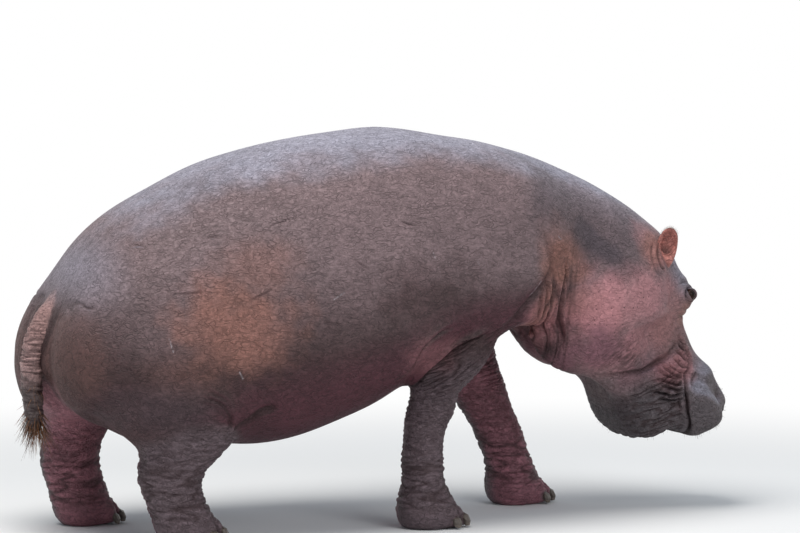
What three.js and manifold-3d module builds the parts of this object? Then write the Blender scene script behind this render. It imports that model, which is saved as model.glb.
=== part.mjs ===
// Hippopotamus (Hippopotamus amphibius): an adult cow walking with her head lowered, life size.
// Frame: millimetres, +X the way she faces, +Y her left, +Z up, soles flat at z = 0.
//
// The body is a field of blended masses, negative inside the flesh. Each named piece is
// polygonised from that field with a cell size of its own. Flat cuts part trunk, neck, head and
// jaw, and the limbs, tail, ears, eyes and nails are cut clear of what they grow from.

import * as THREE from 'three';
import { mergeVertices } from 'three/addons/utils/BufferGeometryUtils.js';
import Module from 'manifold-3d';

const wasm = await Module();
wasm.setup();

// ---------------------------------------------------------------- driving dimensions

const GAP = 0.3; // clearance between neighbouring pieces

// Cell sizes: large on the barrel, fine where the form is small.
const CELL = { torso: 122, neck: 86, head: 43, leg: 65, foot: 40 };

// Trunk and neck, station by station: height of the back, height of the belly, half the width.
const STATIONS = [
  { x: -1240, back: 925, belly: 370, half: 400 },
  { x: -1000, back: 1064, belly: 355, half: 440 },
  { x: -640, back: 1255, belly: 305, half: 490 },
  { x: -420, back: 1318, belly: 293, half: 520 },
  { x: -120, back: 1362, belly: 385, half: 525 },
  { x: 60, back: 1377, belly: 480, half: 500 },
  { x: 310, back: 1336, belly: 628, half: 440 },
  { x: 560, back: 1278, belly: 690, half: 362 },
  { x: 700, back: 1226, belly: 700, half: 305 },
  { x: 870, back: 1145, belly: 690, half: 262 },
  { x: 1040, back: 1035, belly: 700, half: 205 },
];
const RUMP_END = -1178; // where the rounded hind end closes
const RUMP_CAP = 280; // length of that rounding
const NECK_END = 1100;
const NECK_CAP = 170;
const SECTION_POWER = 2.25; // 2 is an ellipse, more is squarer
const TOP_TAPER = 0.1; // sections are this share narrower at the back and wider at the belly

// Masses that swell the torso: centre, radii, lean in the side view (degrees), blend.
const SWELLINGS = [
  { at: [-988, 220, 606], size: [245, 205, 255], lean: 0, blend: 80 }, // buttocks
  { at: [-800, 262, 585], size: [275, 200, 290], lean: 22, blend: 110 }, // thighs
  { at: [315, 222, 945], size: [280, 222, 305], lean: 12, blend: 150 }, // shoulders
];

// The head hangs from the poll. In its own frame x runs to the nose, y to its left, z to the brow.
const POLL = [980, 0, 930];
const HEAD_PITCH = 68; // degrees below level
const HEAD_MASSES = [
  { at: [80, 0, -30], size: [190, 165, 140], blend: 60 }, // cranium
  { at: [120, 72, 20], size: [150, 80, 92], blend: 60 }, // forehead beside the midline
  { at: [310, 0, -14], size: [270, 158, 104], blend: 60 }, // nose bridge
  { at: [205, 108, 82], size: [74, 54, 64], blend: 40 }, // brow mounds
  { at: [140, 150, -220], size: [222, 165, 235], blend: 60 }, // cheeks
  { at: [345, 95, -165], size: [180, 135, 130], blend: 60 }, // sides of the jaw
  { at: [480, 85, -12], size: [130, 82, 74], blend: 60 }, // snout between cheek and lip
  { at: [590, 0, -15], size: [108, 175, 100], blend: 50 }, // front of the muzzle
  { at: [565, 138, -22], size: [134, 97, 95], blend: 50 }, // upper lip pads
  { at: [622, 64, 76], size: [70, 46, 46], blend: 36 }, // nostril mounds
  { at: [512, 0, -190], size: [140, 175, 108], blend: 70 }, // chin
  { at: [522, 105, -175], size: [115, 95, 108], blend: 50 }, // lower lip pads
];
const EYE = { at: [222, 140, 112], radius: 21 };
const EAR = {
  at: [44, 158, 44], up: [-0.84, 0.26, 0.48], facing: [-0.2, 0.9, -0.36],
  length: 112, width: 70, depth: 30, wall: 9,
  buried: 0.12, // share of the length that lies below the root
  opening: 112, // degrees from the ear's back to each rim
  levels: 6, arcSteps: 6,
};
const MOUTH_CORNER = [458, 0, -62]; // the lip line runs forward from here
const LIP_SLOPE = 13; // degrees that the lip line drops towards the front
const JAW_BACK_SLOPE = 68; // degrees from the lip line's level to the crease behind the jaw

// The boxes that the torso, neck and head are polygonised in.
const TORSO_REGION = { low: [-1500, -750, 100], high: [900, 750, 1600] };
const NECK_REGION = { low: [260, -620, 480], high: [1300, 620, 1500] };
const HEAD_REGION = { low: [400, -480, 180], high: [1460, 480, 1180] };

// Cuts between the torso, neck and head.
const NECK_CUT = { at: [560, 0, 900], normal: [1, 0, 0.12] };
const HEAD_CUT = -52; // head-frame x of the cut behind the ears
const TORSO_CUTS = [-700, 120]; // x of the cuts between rump, trunk and shoulders

// Limbs: joints from the body down as [x, z, radius], at `side` from the midline.
const LEGS = [
  {
    name: 'front_right', side: -262, toeOut: -6, foot: { x: 112, scale: 1 },
    joints: [
      [345, 690, 120], [285, 610, 112], [210, 540, 108], [140, 455, 82],
      [98, 365, 66], [88, 240, 68], [98, 130, 82],
    ],
  },
  {
    name: 'front_left', side: 256, toeOut: 5, foot: { x: 668, scale: 1 },
    joints: [
      [385, 690, 150], [438, 575, 120], [528, 405, 86],
      [585, 290, 75], [622, 200, 74], [648, 125, 82],
    ],
  },
  {
    name: 'hind_right', side: -282, toeOut: -8, foot: { x: -775, scale: 0.96 },
    joints: [
      [-790, 520, 140], [-752, 405, 142], [-818, 290, 104],
      [-852, 225, 92], [-826, 160, 84], [-800, 115, 84],
    ],
  },
  {
    name: 'hind_left', side: 268, toeOut: 8, foot: { x: -955, scale: 0.96 },
    joints: [
      [-930, 520, 140], [-925, 410, 138], [-990, 310, 99],
      [-1022, 235, 90], [-1005, 160, 84], [-980, 115, 84],
    ],
  },
];
const LEG_BLEND = 45; // where the bars of a leg join
const FOOT_BLEND = 60; // where the leg runs into the foot
const ANKLE = 118; // height of the cut above each foot
const FOOT = {
  pad: { back: 14, height: 52, size: [98, 108, 82] },
  toes: [-45, -15, 15, 45], // degrees from straight ahead
  toe: { start: 10, reach: 96, top: 92, bottom: 33.3, topRadius: 36, radius: 37, blend: 16 },
  sideToe: 0.88, // size of the outer two toes
};
const NAIL = { size: [15, 24, 25], lean: 24, sunk: 0.86, lift: 3 };

// Tail: [x, z, half width across, half depth], from the root down to the blunt tip.
const TAIL = [
  [-1110, 812, 62, 44], [-1178, 750, 48, 38], [-1224, 672, 38, 33], [-1241, 598, 35, 30],
  [-1243, 520, 34, 28], [-1240, 450, 35, 25], [-1236, 398, 31, 21], [-1233, 368, 17, 13],
];
const TAIL_SIDES = 10;

const COLOURS = {
  back: 0x776a6c, side: 0x6b585a, head: 0x93706f, leg: 0x574648, tail: 0x7b5f5a,
  ear: 0x9a6b60, eye: 0x1c120c, nail: 0x4b423a,
};

// ---------------------------------------------------------------- fields

const degrees = THREE.MathUtils.degToRad;
const mirrored = (at) => (at[1] === 0 ? [at] : [at, [at[0], -at[1], at[2]]]);

function smoothMin(a, b, blend) {
  const near = Math.max(blend - Math.abs(a - b), 0) / blend;
  return Math.min(a, b) - (near * near * blend) / 4;
}

// An ellipsoid whose long axis leans in the side view.
function ellipsoid(at, size, lean = 0) {
  const [cos, sin] = [Math.cos(degrees(lean)), Math.sin(degrees(lean))];
  return ([x, y, z]) => {
    const [dx, dy, dz] = [x - at[0], y - at[1], z - at[2]];
    const local = [dx * cos + dz * sin, dy, dz * cos - dx * sin];
    const k0 = Math.hypot(...local.map((d, i) => d / size[i]));
    const k1 = Math.hypot(...local.map((d, i) => d / size[i] ** 2));
    return k1 < 1e-9 ? -Math.min(...size) : (k0 * (k0 - 1)) / k1;
  };
}

// A round bar whose radius changes evenly from one end to the other.
function taperedBar(a, b, radiusA, radiusB) {
  const start = new THREE.Vector3(...a);
  const span = new THREE.Vector3(...b).sub(start);
  return (p) => {
    const offset = new THREE.Vector3(...p).sub(start);
    const t = THREE.MathUtils.clamp(offset.dot(span) / span.lengthSq(), 0, 1);
    return offset.addScaledVector(span, -t).length() - THREE.MathUtils.lerp(radiusA, radiusB, t);
  };
}

// Bars joined end to end through [x, y, z, radius] joints.
function limb(joints, blend) {
  const bars = joints.slice(1).map((b, i) => {
    const a = joints[i];
    return taperedBar(a.slice(0, 3), b.slice(0, 3), a[3], b[3]);
  });
  return (p) => bars.reduce((field, bar) => smoothMin(field, bar(p), blend), Infinity);
}

// One value between the stations, by cubic curves that pass through each of them.
function between(rows, key, x) {
  const last = rows.length - 1;
  let i = rows.findIndex((row) => row.x > x) - 1;
  if (x >= rows[last].x) return rows[last][key];
  if (i < 0) return rows[0][key];
  const slope = (j) => {
    const [a, b] = [rows[Math.max(j - 1, 0)], rows[Math.min(j + 1, last)]];
    return (b[key] - a[key]) / (b.x - a.x);
  };
  const [a, b] = [rows[i], rows[i + 1]];
  const length = b.x - a.x;
  const t = (x - a.x) / length;
  const [t2, t3] = [t * t, t * t * t];
  return (2 * t3 - 3 * t2 + 1) * a[key] + (t3 - 2 * t2 + t) * length * slope(i)
    + (3 * t2 - 2 * t3) * b[key] + (t3 - t2) * length * slope(i + 1);
}

const BARREL_REACH = 400; // the barrel's field is cut off this far from its surface

// The barrel: oval sections between the back and belly lines, with a rounded cap at each end.
function barrel([x, y, z]) {
  const [back, belly] = [between(STATIONS, 'back', x), between(STATIONS, 'belly', x)];
  const half = between(STATIONS, 'half', x);
  const rise = (z - (back + belly) / 2) / ((back - belly) / 2);
  const across = y / (half * (1 - TOP_TAPER * THREE.MathUtils.clamp(rise, -1, 1)));
  const behindRump = (RUMP_END + RUMP_CAP - x) / RUMP_CAP;
  const aheadOfNeck = (x - NECK_END + NECK_CAP) / NECK_CAP;
  const beyond = Math.max(behindRump, aheadOfNeck, 0);
  const sum = [across, rise, beyond].reduce((total, d) => total + Math.abs(d) ** SECTION_POWER, 0);
  return sum ** (1 / SECTION_POWER) - 1;
}

const STEP = 1; // for slopes taken by differences

function gradient(field, p) {
  return [0, 1, 2].map((axis) => {
    const [low, high] = [[...p], [...p]];
    low[axis] -= STEP;
    high[axis] += STEP;
    return (field(high) - field(low)) / (2 * STEP);
  });
}

// A field scaled so that it reads as millimetres near its surface.
function inMillimetres(field, most) {
  return (p) => {
    const slope = Math.hypot(...gradient(field, p));
    return THREE.MathUtils.clamp(field(p) / Math.max(slope, 1e-4), -most, most);
  };
}

const barrelField = inMillimetres(barrel, BARREL_REACH);
const swellings = SWELLINGS.flatMap(({ at, size, lean, blend }) => (
  mirrored(at).map((place) => ({ field: ellipsoid(place, size, lean), blend }))
));

function torsoField(p) {
  return swellings.reduce((total, { field, blend }) => smoothMin(total, field(p), blend), barrelField(p));
}

// Head frame to world, and back.
const pitch = new THREE.Matrix4().makeRotationY(degrees(HEAD_PITCH));
const headToWorld = new THREE.Matrix4().makeTranslation(...POLL).multiply(pitch);
const worldToHead = headToWorld.clone().invert();
const intoHead = (p) => new THREE.Vector3(...p).applyMatrix4(worldToHead).toArray();

const headMasses = HEAD_MASSES.flatMap(({ at, size, blend }) => (
  mirrored(at).map((place) => ({ field: ellipsoid(place, size), blend }))
));

function headField(p) {
  const local = intoHead(p);
  return headMasses.reduce((total, { field, blend }) => smoothMin(total, field(local), blend), Infinity);
}

const NECK_BLEND = 95;
const headAndNeckField = (p) => smoothMin(headField(p), torsoField(p), NECK_BLEND);

// ---------------------------------------------------------------- surfaces and solids

const FLAT_SLOPE = 0.05; // slopes squared are taken as at least this when a vertex slides
const SPREAD_ROUNDS = 2;

// Surface nets: one vertex in every cell that the surface crosses, one quad round every crossing
// edge. The vertices then slide onto the surface itself, and spread evenly over it.
function polygonise(field, low, high, cell) {
  const count = low.map((v, i) => Math.ceil((high[i] - v) / cell) + 1);
  const place = (i, j, k) => [low[0] + i * cell, low[1] + j * cell, low[2] + k * cell];
  const index = (i, j, k) => (i * count[1] + j) * count[2] + k;
  const beyondBox = (v, i) => Math.max(low[i] + cell - v, v - high[i] + cell);
  const clipped = (p) => Math.max(field(p), ...p.map(beyondBox));
  const value = new Float64Array(count[0] * count[1] * count[2]);
  for (let i = 0; i < count[0]; i++) {
    for (let j = 0; j < count[1]; j++) {
      for (let k = 0; k < count[2]; k++) value[index(i, j, k)] = clipped(place(i, j, k));
    }
  }

  const corners = [0, 1, 2, 3, 4, 5, 6, 7].map((c) => [c & 1, (c >> 1) & 1, (c >> 2) & 1]);
  const stepsApart = (a, b) => a.reduce((steps, v, axis) => steps + Math.abs(v - b[axis]), 0);
  const edges = corners.flatMap((a, i) => (
    corners.slice(i + 1).filter((b) => stepsApart(a, b) === 1).map((b) => [a, b])
  ));
  const points = [];
  const vertexOf = new Map();
  for (let i = 0; i < count[0] - 1; i++) {
    for (let j = 0; j < count[1] - 1; j++) {
      for (let k = 0; k < count[2] - 1; k++) {
        const crossings = [];
        for (const [a, b] of edges) {
          const va = value[index(i + a[0], j + a[1], k + a[2])];
          const vb = value[index(i + b[0], j + b[1], k + b[2])];
          if (va < 0 === vb < 0) continue;
          const t = va / (va - vb);
          crossings.push(a.map((v, axis) => [i, j, k][axis] + v + t * (b[axis] - v)));
        }
        if (crossings.length === 0) continue;
        const mean = [0, 1, 2].map((axis) => (
          crossings.reduce((total, c) => total + c[axis], 0) / crossings.length
        ));
        vertexOf.set(index(i, j, k), points.length);
        points.push(mean.map((v, axis) => low[axis] + v * cell));
      }
    }
  }

  const quads = [];
  for (let i = 1; i < count[0] - 1; i++) {
    for (let j = 1; j < count[1] - 1; j++) {
      for (let k = 1; k < count[2] - 1; k++) {
        for (let axis = 0; axis < 3; axis++) {
          const step = [0, 0, 0];
          step[axis] = 1;
          const here = value[index(i, j, k)] < 0;
          if (here === value[index(i + step[0], j + step[1], k + step[2])] < 0) continue;
          const [u, v] = [(axis + 1) % 3, (axis + 2) % 3];
          const quad = [[0, 0], [-1, 0], [-1, -1], [0, -1]].map(([du, dv]) => {
            const cellAt = [i, j, k];
            cellAt[u] += du;
            cellAt[v] += dv;
            return vertexOf.get(index(...cellAt));
          });
          quads.push(here ? quad : quad.reverse());
        }
      }
    }
  }

  const slide = (p) => {
    const slope = gradient(clipped, p);
    const square = slope.reduce((total, v) => total + v * v, 0);
    const move = THREE.MathUtils.clamp(clipped(p) / Math.max(square, FLAT_SLOPE), -cell / 2, cell / 2);
    return p.map((v, axis) => v - slope[axis] * move);
  };
  let placed = points.map(slide);
  for (let round = 0; round < SPREAD_ROUNDS; round++) {
    const sum = placed.map(() => [0, 0, 0, 0]);
    for (const quad of quads) {
      quad.forEach((from, corner) => {
        const to = quad[(corner + 1) % 4];
        placed[to].forEach((v, axis) => { sum[from][axis] += v; });
        sum[from][3] += 1;
      });
    }
    placed = placed.map((p, i) => p.map((v, axis) => 0.5 * v + (0.5 * sum[i][axis]) / sum[i][3]));
    placed = placed.map(slide).map(slide);
  }
  return { points: placed, quads };
}

// The triangles of a net, each quad split along its shorter diagonal, grown by `swell`.
function netGeometry(net, field, swell = 0) {
  const moved = swell === 0 ? net.points : net.points.map((p) => {
    const slope = new THREE.Vector3(...gradient(field, p)).normalize();
    return slope.multiplyScalar(swell).add(new THREE.Vector3(...p)).toArray();
  });
  const apart = (a, b) => Math.hypot(...moved[a].map((v, i) => v - moved[b][i]));
  const geometry = new THREE.BufferGeometry();
  geometry.setAttribute('position', new THREE.Float32BufferAttribute(moved.flat(), 3));
  geometry.setIndex(net.quads.flatMap(([a, b, c, d]) => (
    apart(a, c) < apart(b, d) ? [a, b, c, a, c, d] : [a, b, d, b, c, d]
  )));
  return geometry;
}

function toSolid(geometry) {
  const bare = geometry.clone();
  bare.deleteAttribute('normal');
  bare.deleteAttribute('uv');
  const merged = mergeVertices(bare, 1e-4);
  return new wasm.Manifold(new wasm.Mesh({
    numProp: 3,
    vertProperties: new Float32Array(merged.attributes.position.array),
    triVerts: new Uint32Array(merged.index.array),
  }));
}

function toGeometry(solid) {
  const mesh = solid.getMesh();
  const geometry = new THREE.BufferGeometry();
  const places = [];
  for (let i = 0; i < mesh.vertProperties.length; i += mesh.numProp) {
    places.push(...mesh.vertProperties.slice(i, i + 3));
  }
  geometry.setAttribute('position', new THREE.Float32BufferAttribute(places, 3));
  geometry.setIndex(Array.from(mesh.triVerts));
  geometry.computeVertexNormals();
  return geometry;
}

// The largest connected piece of a solid: cuts can leave slivers beside it.
function largest(solid) {
  return solid.decompose().sort((a, b) => b.volume() - a.volume())[0];
}

const HUGE = 5000;

// Everything on the side of a plane that its normal points to, `inset` past the plane.
function halfSpace(at, normal, inset) {
  const direction = new THREE.Vector3(...normal).normalize();
  const box = new THREE.BoxGeometry(HUGE, HUGE, HUGE);
  box.translate(0, 0, HUGE / 2 + inset);
  box.applyQuaternion(new THREE.Quaternion().setFromUnitVectors(new THREE.Vector3(0, 0, 1), direction));
  box.translate(...at);
  return toSolid(box);
}

const opposite = (normal) => normal.map((v) => -v);
const ahead = (cut) => halfSpace(cut.at, cut.normal, GAP / 2);
const behind = (cut) => halfSpace(cut.at, opposite(cut.normal), GAP / 2);

// ---------------------------------------------------------------- the group

const group = new THREE.Group();
const ROUGHNESS = { skin: 0.6, nail: 0.45, eye: 0.08 };

function addPiece(name, geometry, colour, roughness = ROUGHNESS.skin) {
  geometry.computeVertexNormals();
  const material = new THREE.MeshStandardMaterial({ color: colour, roughness, metalness: 0 });
  const mesh = new THREE.Mesh(geometry, material);
  mesh.name = name;
  group.add(mesh);
}

// ---------------------------------------------------------------- torso and neck

const torsoNet = polygonise(torsoField, TORSO_REGION.low, TORSO_REGION.high, CELL.torso);
const torsoWhole = toSolid(netGeometry(torsoNet));
const torsoGrown = toSolid(netGeometry(torsoNet, torsoField, GAP * 2));
const torso = torsoWhole.intersect(behind(NECK_CUT));
const [rumpCut, shoulderCut] = TORSO_CUTS.map((x) => ({ at: [x, 0, 0], normal: [1, 0, 0] }));

const rump = largest(torso.intersect(behind(rumpCut)));
const trunk = largest(torso.intersect(ahead(rumpCut)).intersect(behind(shoulderCut)));
const shoulders = largest(torso.intersect(ahead(shoulderCut)));
addPiece('rump', toGeometry(rump), COLOURS.side);
addPiece('trunk', toGeometry(trunk), COLOURS.back);
addPiece('shoulders', toGeometry(shoulders), COLOURS.side);

const headAxis = new THREE.Vector3(1, 0, 0).transformDirection(headToWorld).toArray();
const headCutAt = new THREE.Vector3(HEAD_CUT, 0, 0).applyMatrix4(headToWorld).toArray();
const headCut = { at: headCutAt, normal: headAxis };

const neckNet = polygonise(headAndNeckField, NECK_REGION.low, NECK_REGION.high, CELL.neck);
const neck = largest(toSolid(netGeometry(neckNet)).intersect(ahead(NECK_CUT)).intersect(behind(headCut)));
addPiece('neck', toGeometry(neck), COLOURS.back);

// ---------------------------------------------------------------- head, jaw, eyes and ears

const headNet = polygonise(headAndNeckField, HEAD_REGION.low, HEAD_REGION.high, CELL.head);
const headWhole = toSolid(netGeometry(headNet)).intersect(ahead(NECK_CUT)).intersect(ahead(headCut));
const headGrown = toSolid(netGeometry(headNet, headAndNeckField, GAP));

// The jaw lies between the lip line and the crease behind it, which meet at the mouth corner.
function jawWedge(inset) {
  const at = new THREE.Vector3(...MOUTH_CORNER).applyMatrix4(headToWorld).toArray();
  const [lip, crease] = [-LIP_SLOPE, JAW_BACK_SLOPE].map((slope) => {
    const normal = new THREE.Vector3(Math.sin(degrees(slope)), 0, -Math.cos(degrees(slope)));
    return halfSpace(at, normal.transformDirection(headToWorld).toArray(), inset);
  });
  return lip.intersect(crease);
}

const EYE_SEGMENTS = [10, 7];

function eyeball(side, swell) {
  const ball = new THREE.SphereGeometry(EYE.radius + swell, ...EYE_SEGMENTS);
  ball.translate(EYE.at[0], side * EYE.at[1], EYE.at[2]);
  return ball.applyMatrix4(headToWorld);
}

let skull = headWhole.subtract(jawWedge(-GAP / 2));
for (const side of [1, -1]) skull = skull.subtract(toSolid(eyeball(side, GAP * 2)));
addPiece('head', toGeometry(largest(skull)), COLOURS.head);
addPiece('lower_jaw', toGeometry(largest(headWhole.intersect(jawWedge(GAP / 2)))), COLOURS.head);

// Rings of equal length joined into a closed skin. Each end is closed by pairing its points.
function loft(rings) {
  const n = rings[0].length;
  const triangles = [];
  for (let r = 0; r < rings.length - 1; r++) {
    for (let i = 0; i < n; i++) {
      const [a, b] = [r * n + i, r * n + ((i + 1) % n)];
      triangles.push(a, b, b + n, a, b + n, a + n);
    }
  }
  const top = (rings.length - 1) * n;
  for (let i = 0; i < n / 2 - 1; i++) {
    const [a, b, c, d] = [i, i + 1, n - 2 - i, n - 1 - i];
    triangles.push(a, c, b, a, d, c, top + a, top + b, top + c, top + a, top + c, top + d);
  }
  const geometry = new THREE.BufferGeometry();
  geometry.setAttribute('position', new THREE.Float32BufferAttribute(rings.flat(2), 3));
  geometry.setIndex(triangles);
  return geometry;
}

// How wide the ear is at a share t of its length: narrow root, full middle, blunt tip.
function earSpread(t) {
  const [root, fullness, taper] = [0.55, 0.62, 0.42];
  return root + fullness * Math.sin(Math.PI * (0.12 + 0.76 * t)) - taper * t ** 3;
}

// A cupped ear: crescent sections that open outwards and to the rear, from the root to the tip.
function ear(side) {
  const rings = [];
  for (let level = 0; level < EAR.levels; level++) {
    const t = level / (EAR.levels - 1);
    const spread = earSpread(t);
    const arc = (shrink) => Array.from({ length: EAR.arcSteps }, (_, i) => {
      const angle = degrees(EAR.opening) * ((2 * i) / (EAR.arcSteps - 1) - 1);
      const [w, d] = [(spread * EAR.width) / 2 - shrink, spread * EAR.depth - shrink];
      return [Math.sin(angle) * w, Math.cos(angle) * d, (t - EAR.buried) * EAR.length];
    });
    rings.push([...arc(0), ...arc(EAR.wall).reverse()]);
  }
  const shell = loft(rings.map((ring) => ring.map(([w, d, h]) => [w, -d, h])));
  const up = new THREE.Vector3(...EAR.up).normalize();
  const across = new THREE.Vector3(...EAR.facing).cross(up).normalize();
  shell.applyMatrix4(new THREE.Matrix4().makeBasis(across, up.clone().cross(across), up));
  shell.translate(...EAR.at);
  if (side < 0) {
    shell.scale(1, -1, 1);
    shell.setIndex(Array.from(shell.index.array).reverse());
  }
  return shell.applyMatrix4(headToWorld);
}

for (const [side, word] of [[1, 'left'], [-1, 'right']]) {
  const shell = largest(toSolid(ear(side)).subtract(headGrown));
  addPiece(`ear_${word}`, toGeometry(shell), COLOURS.ear);
  addPiece(`eye_${word}`, eyeball(side, 0), COLOURS.eye, ROUGHNESS.eye);
}

// ---------------------------------------------------------------- legs, feet and toenails

const toeSize = (scale, index) => (
  scale * (index === 0 || index === FOOT.toes.length - 1 ? FOOT.sideToe : 1)
);

// A round pad with four short toes that fan out from it.
function footField({ side, toeOut, foot: { x, scale } }) {
  const { pad, toe } = FOOT;
  const padField = ellipsoid([x - pad.back, side, pad.height], pad.size.map((v) => v * scale));
  const toes = FOOT.toes.map((angle, i) => {
    const size = toeSize(scale, i);
    const yaw = degrees(angle + toeOut);
    const end = (reach) => [x + Math.cos(yaw) * reach, side + Math.sin(yaw) * reach];
    const [top, bottom] = [[...end(toe.start), toe.top], [...end(toe.reach * size), toe.bottom]];
    return taperedBar(top, bottom, toe.topRadius, toe.radius * size);
  });
  return (p) => toes.reduce((total, one) => smoothMin(total, one(p), toe.blend), padField(p));
}

const NAIL_SEGMENTS = [7, 4];

// A blunt oval nail, sunk in the tip of its toe.
function toenail({ side, toeOut, foot: { x, scale } }, angle, index, swell) {
  const size = toeSize(scale, index);
  const nail = new THREE.SphereGeometry(1, ...NAIL_SEGMENTS);
  nail.scale(...NAIL.size.map((v) => v * size + swell));
  nail.rotateY(degrees(-NAIL.lean));
  const out = (FOOT.toe.reach + FOOT.toe.radius * NAIL.sunk) * size;
  nail.translate(out, 0, NAIL.size[2] * size + NAIL.lift);
  nail.rotateZ(degrees(angle + toeOut));
  return nail.translate(x, side, 0);
}

// The box that the whole leg lies in, and the box round its foot.
function legRegion(joints, side) {
  const xs = joints.flatMap(([x, , , radius]) => [x - radius, x + radius]);
  return { low: [Math.min(...xs) - 90, side - 300, -60], high: [Math.max(...xs) + 90, side + 300, 900] };
}

function footRegion(x, side) {
  return { low: [x - 270, side - 250, -120], high: [x + 260, side + 250, 300] };
}

const aboveFloor = halfSpace([0, 0, 0], [0, 0, 1], 0);

for (const leg of LEGS) {
  const joints = leg.joints.map(([x, z, radius]) => [x, leg.side, z, radius]);
  const shaft = limb(joints, LEG_BLEND);
  const sole = footField(leg);
  const field = (p) => smoothMin(shaft(p), sole(p), FOOT_BLEND);
  const ankle = { at: [leg.foot.x, leg.side, ANKLE], normal: [0, 0, 1] };

  const upper = legRegion(joints, leg.side);
  const legNet = polygonise(field, upper.low, upper.high, CELL.leg);
  const legSolid = toSolid(netGeometry(legNet)).intersect(ahead(ankle)).subtract(torsoGrown);
  addPiece(`leg_${leg.name}`, toGeometry(largest(legSolid)), COLOURS.leg);

  const lower = footRegion(leg.foot.x, leg.side);
  const footNet = polygonise(field, lower.low, lower.high, CELL.foot);
  let foot = toSolid(netGeometry(footNet)).intersect(behind(ankle)).intersect(aboveFloor);
  FOOT.toes.forEach((angle, i) => {
    foot = foot.subtract(toSolid(toenail(leg, angle, i, GAP)));
    const name = `nail_${leg.name}_${i + 1}`;
    addPiece(name, toenail(leg, angle, i, 0), COLOURS.nail, ROUGHNESS.nail);
  });
  addPiece(`foot_${leg.name}`, toGeometry(largest(foot)), COLOURS.leg);
}

// ---------------------------------------------------------------- tail

// A flattened rope of flesh that hangs in the groove between the buttocks.
function tail() {
  const sides = TAIL_SIDES;
  const rings = TAIL.map(([x, z, half, depth], i) => {
    const [above, below] = [TAIL[Math.max(i - 1, 0)], TAIL[Math.min(i + 1, TAIL.length - 1)]];
    const along = new THREE.Vector2(below[0] - above[0], below[1] - above[1]).normalize();
    return Array.from({ length: sides }, (_, k) => {
      const angle = (2 * Math.PI * (k + 0.5)) / sides;
      const [out, across] = [Math.cos(angle) * depth, Math.sin(angle) * half];
      return [x + along.y * out, across, z - along.x * out];
    });
  });
  return loft(rings);
}

addPiece('tail', toGeometry(largest(toSolid(tail()).subtract(torsoGrown))), COLOURS.tail);

// ---------------------------------------------------------------- origin

// The origin lies under the middle of the whole animal's box.
const box = new THREE.Box3().setFromObject(group);
const middle = box.getCenter(new THREE.Vector3());
group.position.set(-middle.x, -middle.y, -box.min.z);

export default group;
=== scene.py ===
from math import cos, radians, sin

import bmesh
import bpy
import numpy as np
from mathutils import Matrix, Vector
from mathutils.bvhtree import BVHTree


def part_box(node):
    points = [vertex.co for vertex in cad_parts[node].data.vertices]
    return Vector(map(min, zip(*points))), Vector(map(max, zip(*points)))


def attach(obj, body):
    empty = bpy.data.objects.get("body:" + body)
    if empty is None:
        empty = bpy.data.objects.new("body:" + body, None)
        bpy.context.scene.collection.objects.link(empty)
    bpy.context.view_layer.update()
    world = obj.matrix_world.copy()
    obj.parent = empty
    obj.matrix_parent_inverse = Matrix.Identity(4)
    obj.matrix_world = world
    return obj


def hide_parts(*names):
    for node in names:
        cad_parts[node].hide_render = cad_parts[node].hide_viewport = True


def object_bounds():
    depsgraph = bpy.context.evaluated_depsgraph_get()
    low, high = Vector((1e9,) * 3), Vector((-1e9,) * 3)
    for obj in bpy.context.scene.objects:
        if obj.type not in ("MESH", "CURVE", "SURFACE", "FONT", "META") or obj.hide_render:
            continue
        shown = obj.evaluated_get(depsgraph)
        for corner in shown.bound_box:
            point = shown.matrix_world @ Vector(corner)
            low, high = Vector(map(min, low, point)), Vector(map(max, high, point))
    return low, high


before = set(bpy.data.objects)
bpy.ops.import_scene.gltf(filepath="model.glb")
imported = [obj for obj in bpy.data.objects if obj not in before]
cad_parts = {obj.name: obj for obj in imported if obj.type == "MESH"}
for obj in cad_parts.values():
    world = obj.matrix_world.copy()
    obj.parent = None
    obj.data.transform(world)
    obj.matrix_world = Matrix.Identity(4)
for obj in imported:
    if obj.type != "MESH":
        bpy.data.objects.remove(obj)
cad_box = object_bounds()

# ---------------------------------------------------------------- studio
# The animal stands on a plain pale floor under one large overhead softbox, as under a bright
# cloudy sky, with a weaker softbox at the camera's side. The camera is level with the shoulder
# and looks along the animal from behind its right flank with a long lens.

LOW, HIGH = (np.array(corner) for corner in cad_box)
AIM = (LOW + HIGH) / 2 + (HIGH - LOW) * np.array([0.0344, 0.017, 0.143])
AZIMUTH, ELEVATION, LENS, SENSOR, DISTANCE = -22, 4, 200, 36, 15.556
SKY, SKY_POWER = (0.84, 0.91, 1.0, 1), 0.48
FLOOR_SIDE, FLOOR_PAINT = 400, (0.86, 0.86, 0.85, 1)
FLOOR_FADE = (1.7, 4.5)  # metres from the animal over which the floor turns into the white ground


def put(name, data, azimuth, elevation, distance):
    """A lamp or camera that looks at the aim from that side, height and distance."""
    thing = bpy.data.objects.new(name, data)
    bpy.context.scene.collection.objects.link(thing)
    a, e = radians(azimuth), radians(elevation)
    back = Vector((sin(a) * cos(e), -cos(a) * cos(e), sin(e)))
    thing.location = Vector(AIM) + back * distance
    thing.rotation_mode = "QUATERNION"
    thing.rotation_quaternion = (-back).to_track_quat("-Z", "Y")
    return thing


def softbox(name, azimuth, elevation, distance, size, power, colour):
    lamp = bpy.data.lights.new(name, "AREA")
    lamp.shape, lamp.size, lamp.energy, lamp.color = "DISK", size, power, colour
    put(name, lamp, azimuth, elevation, distance)


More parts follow.
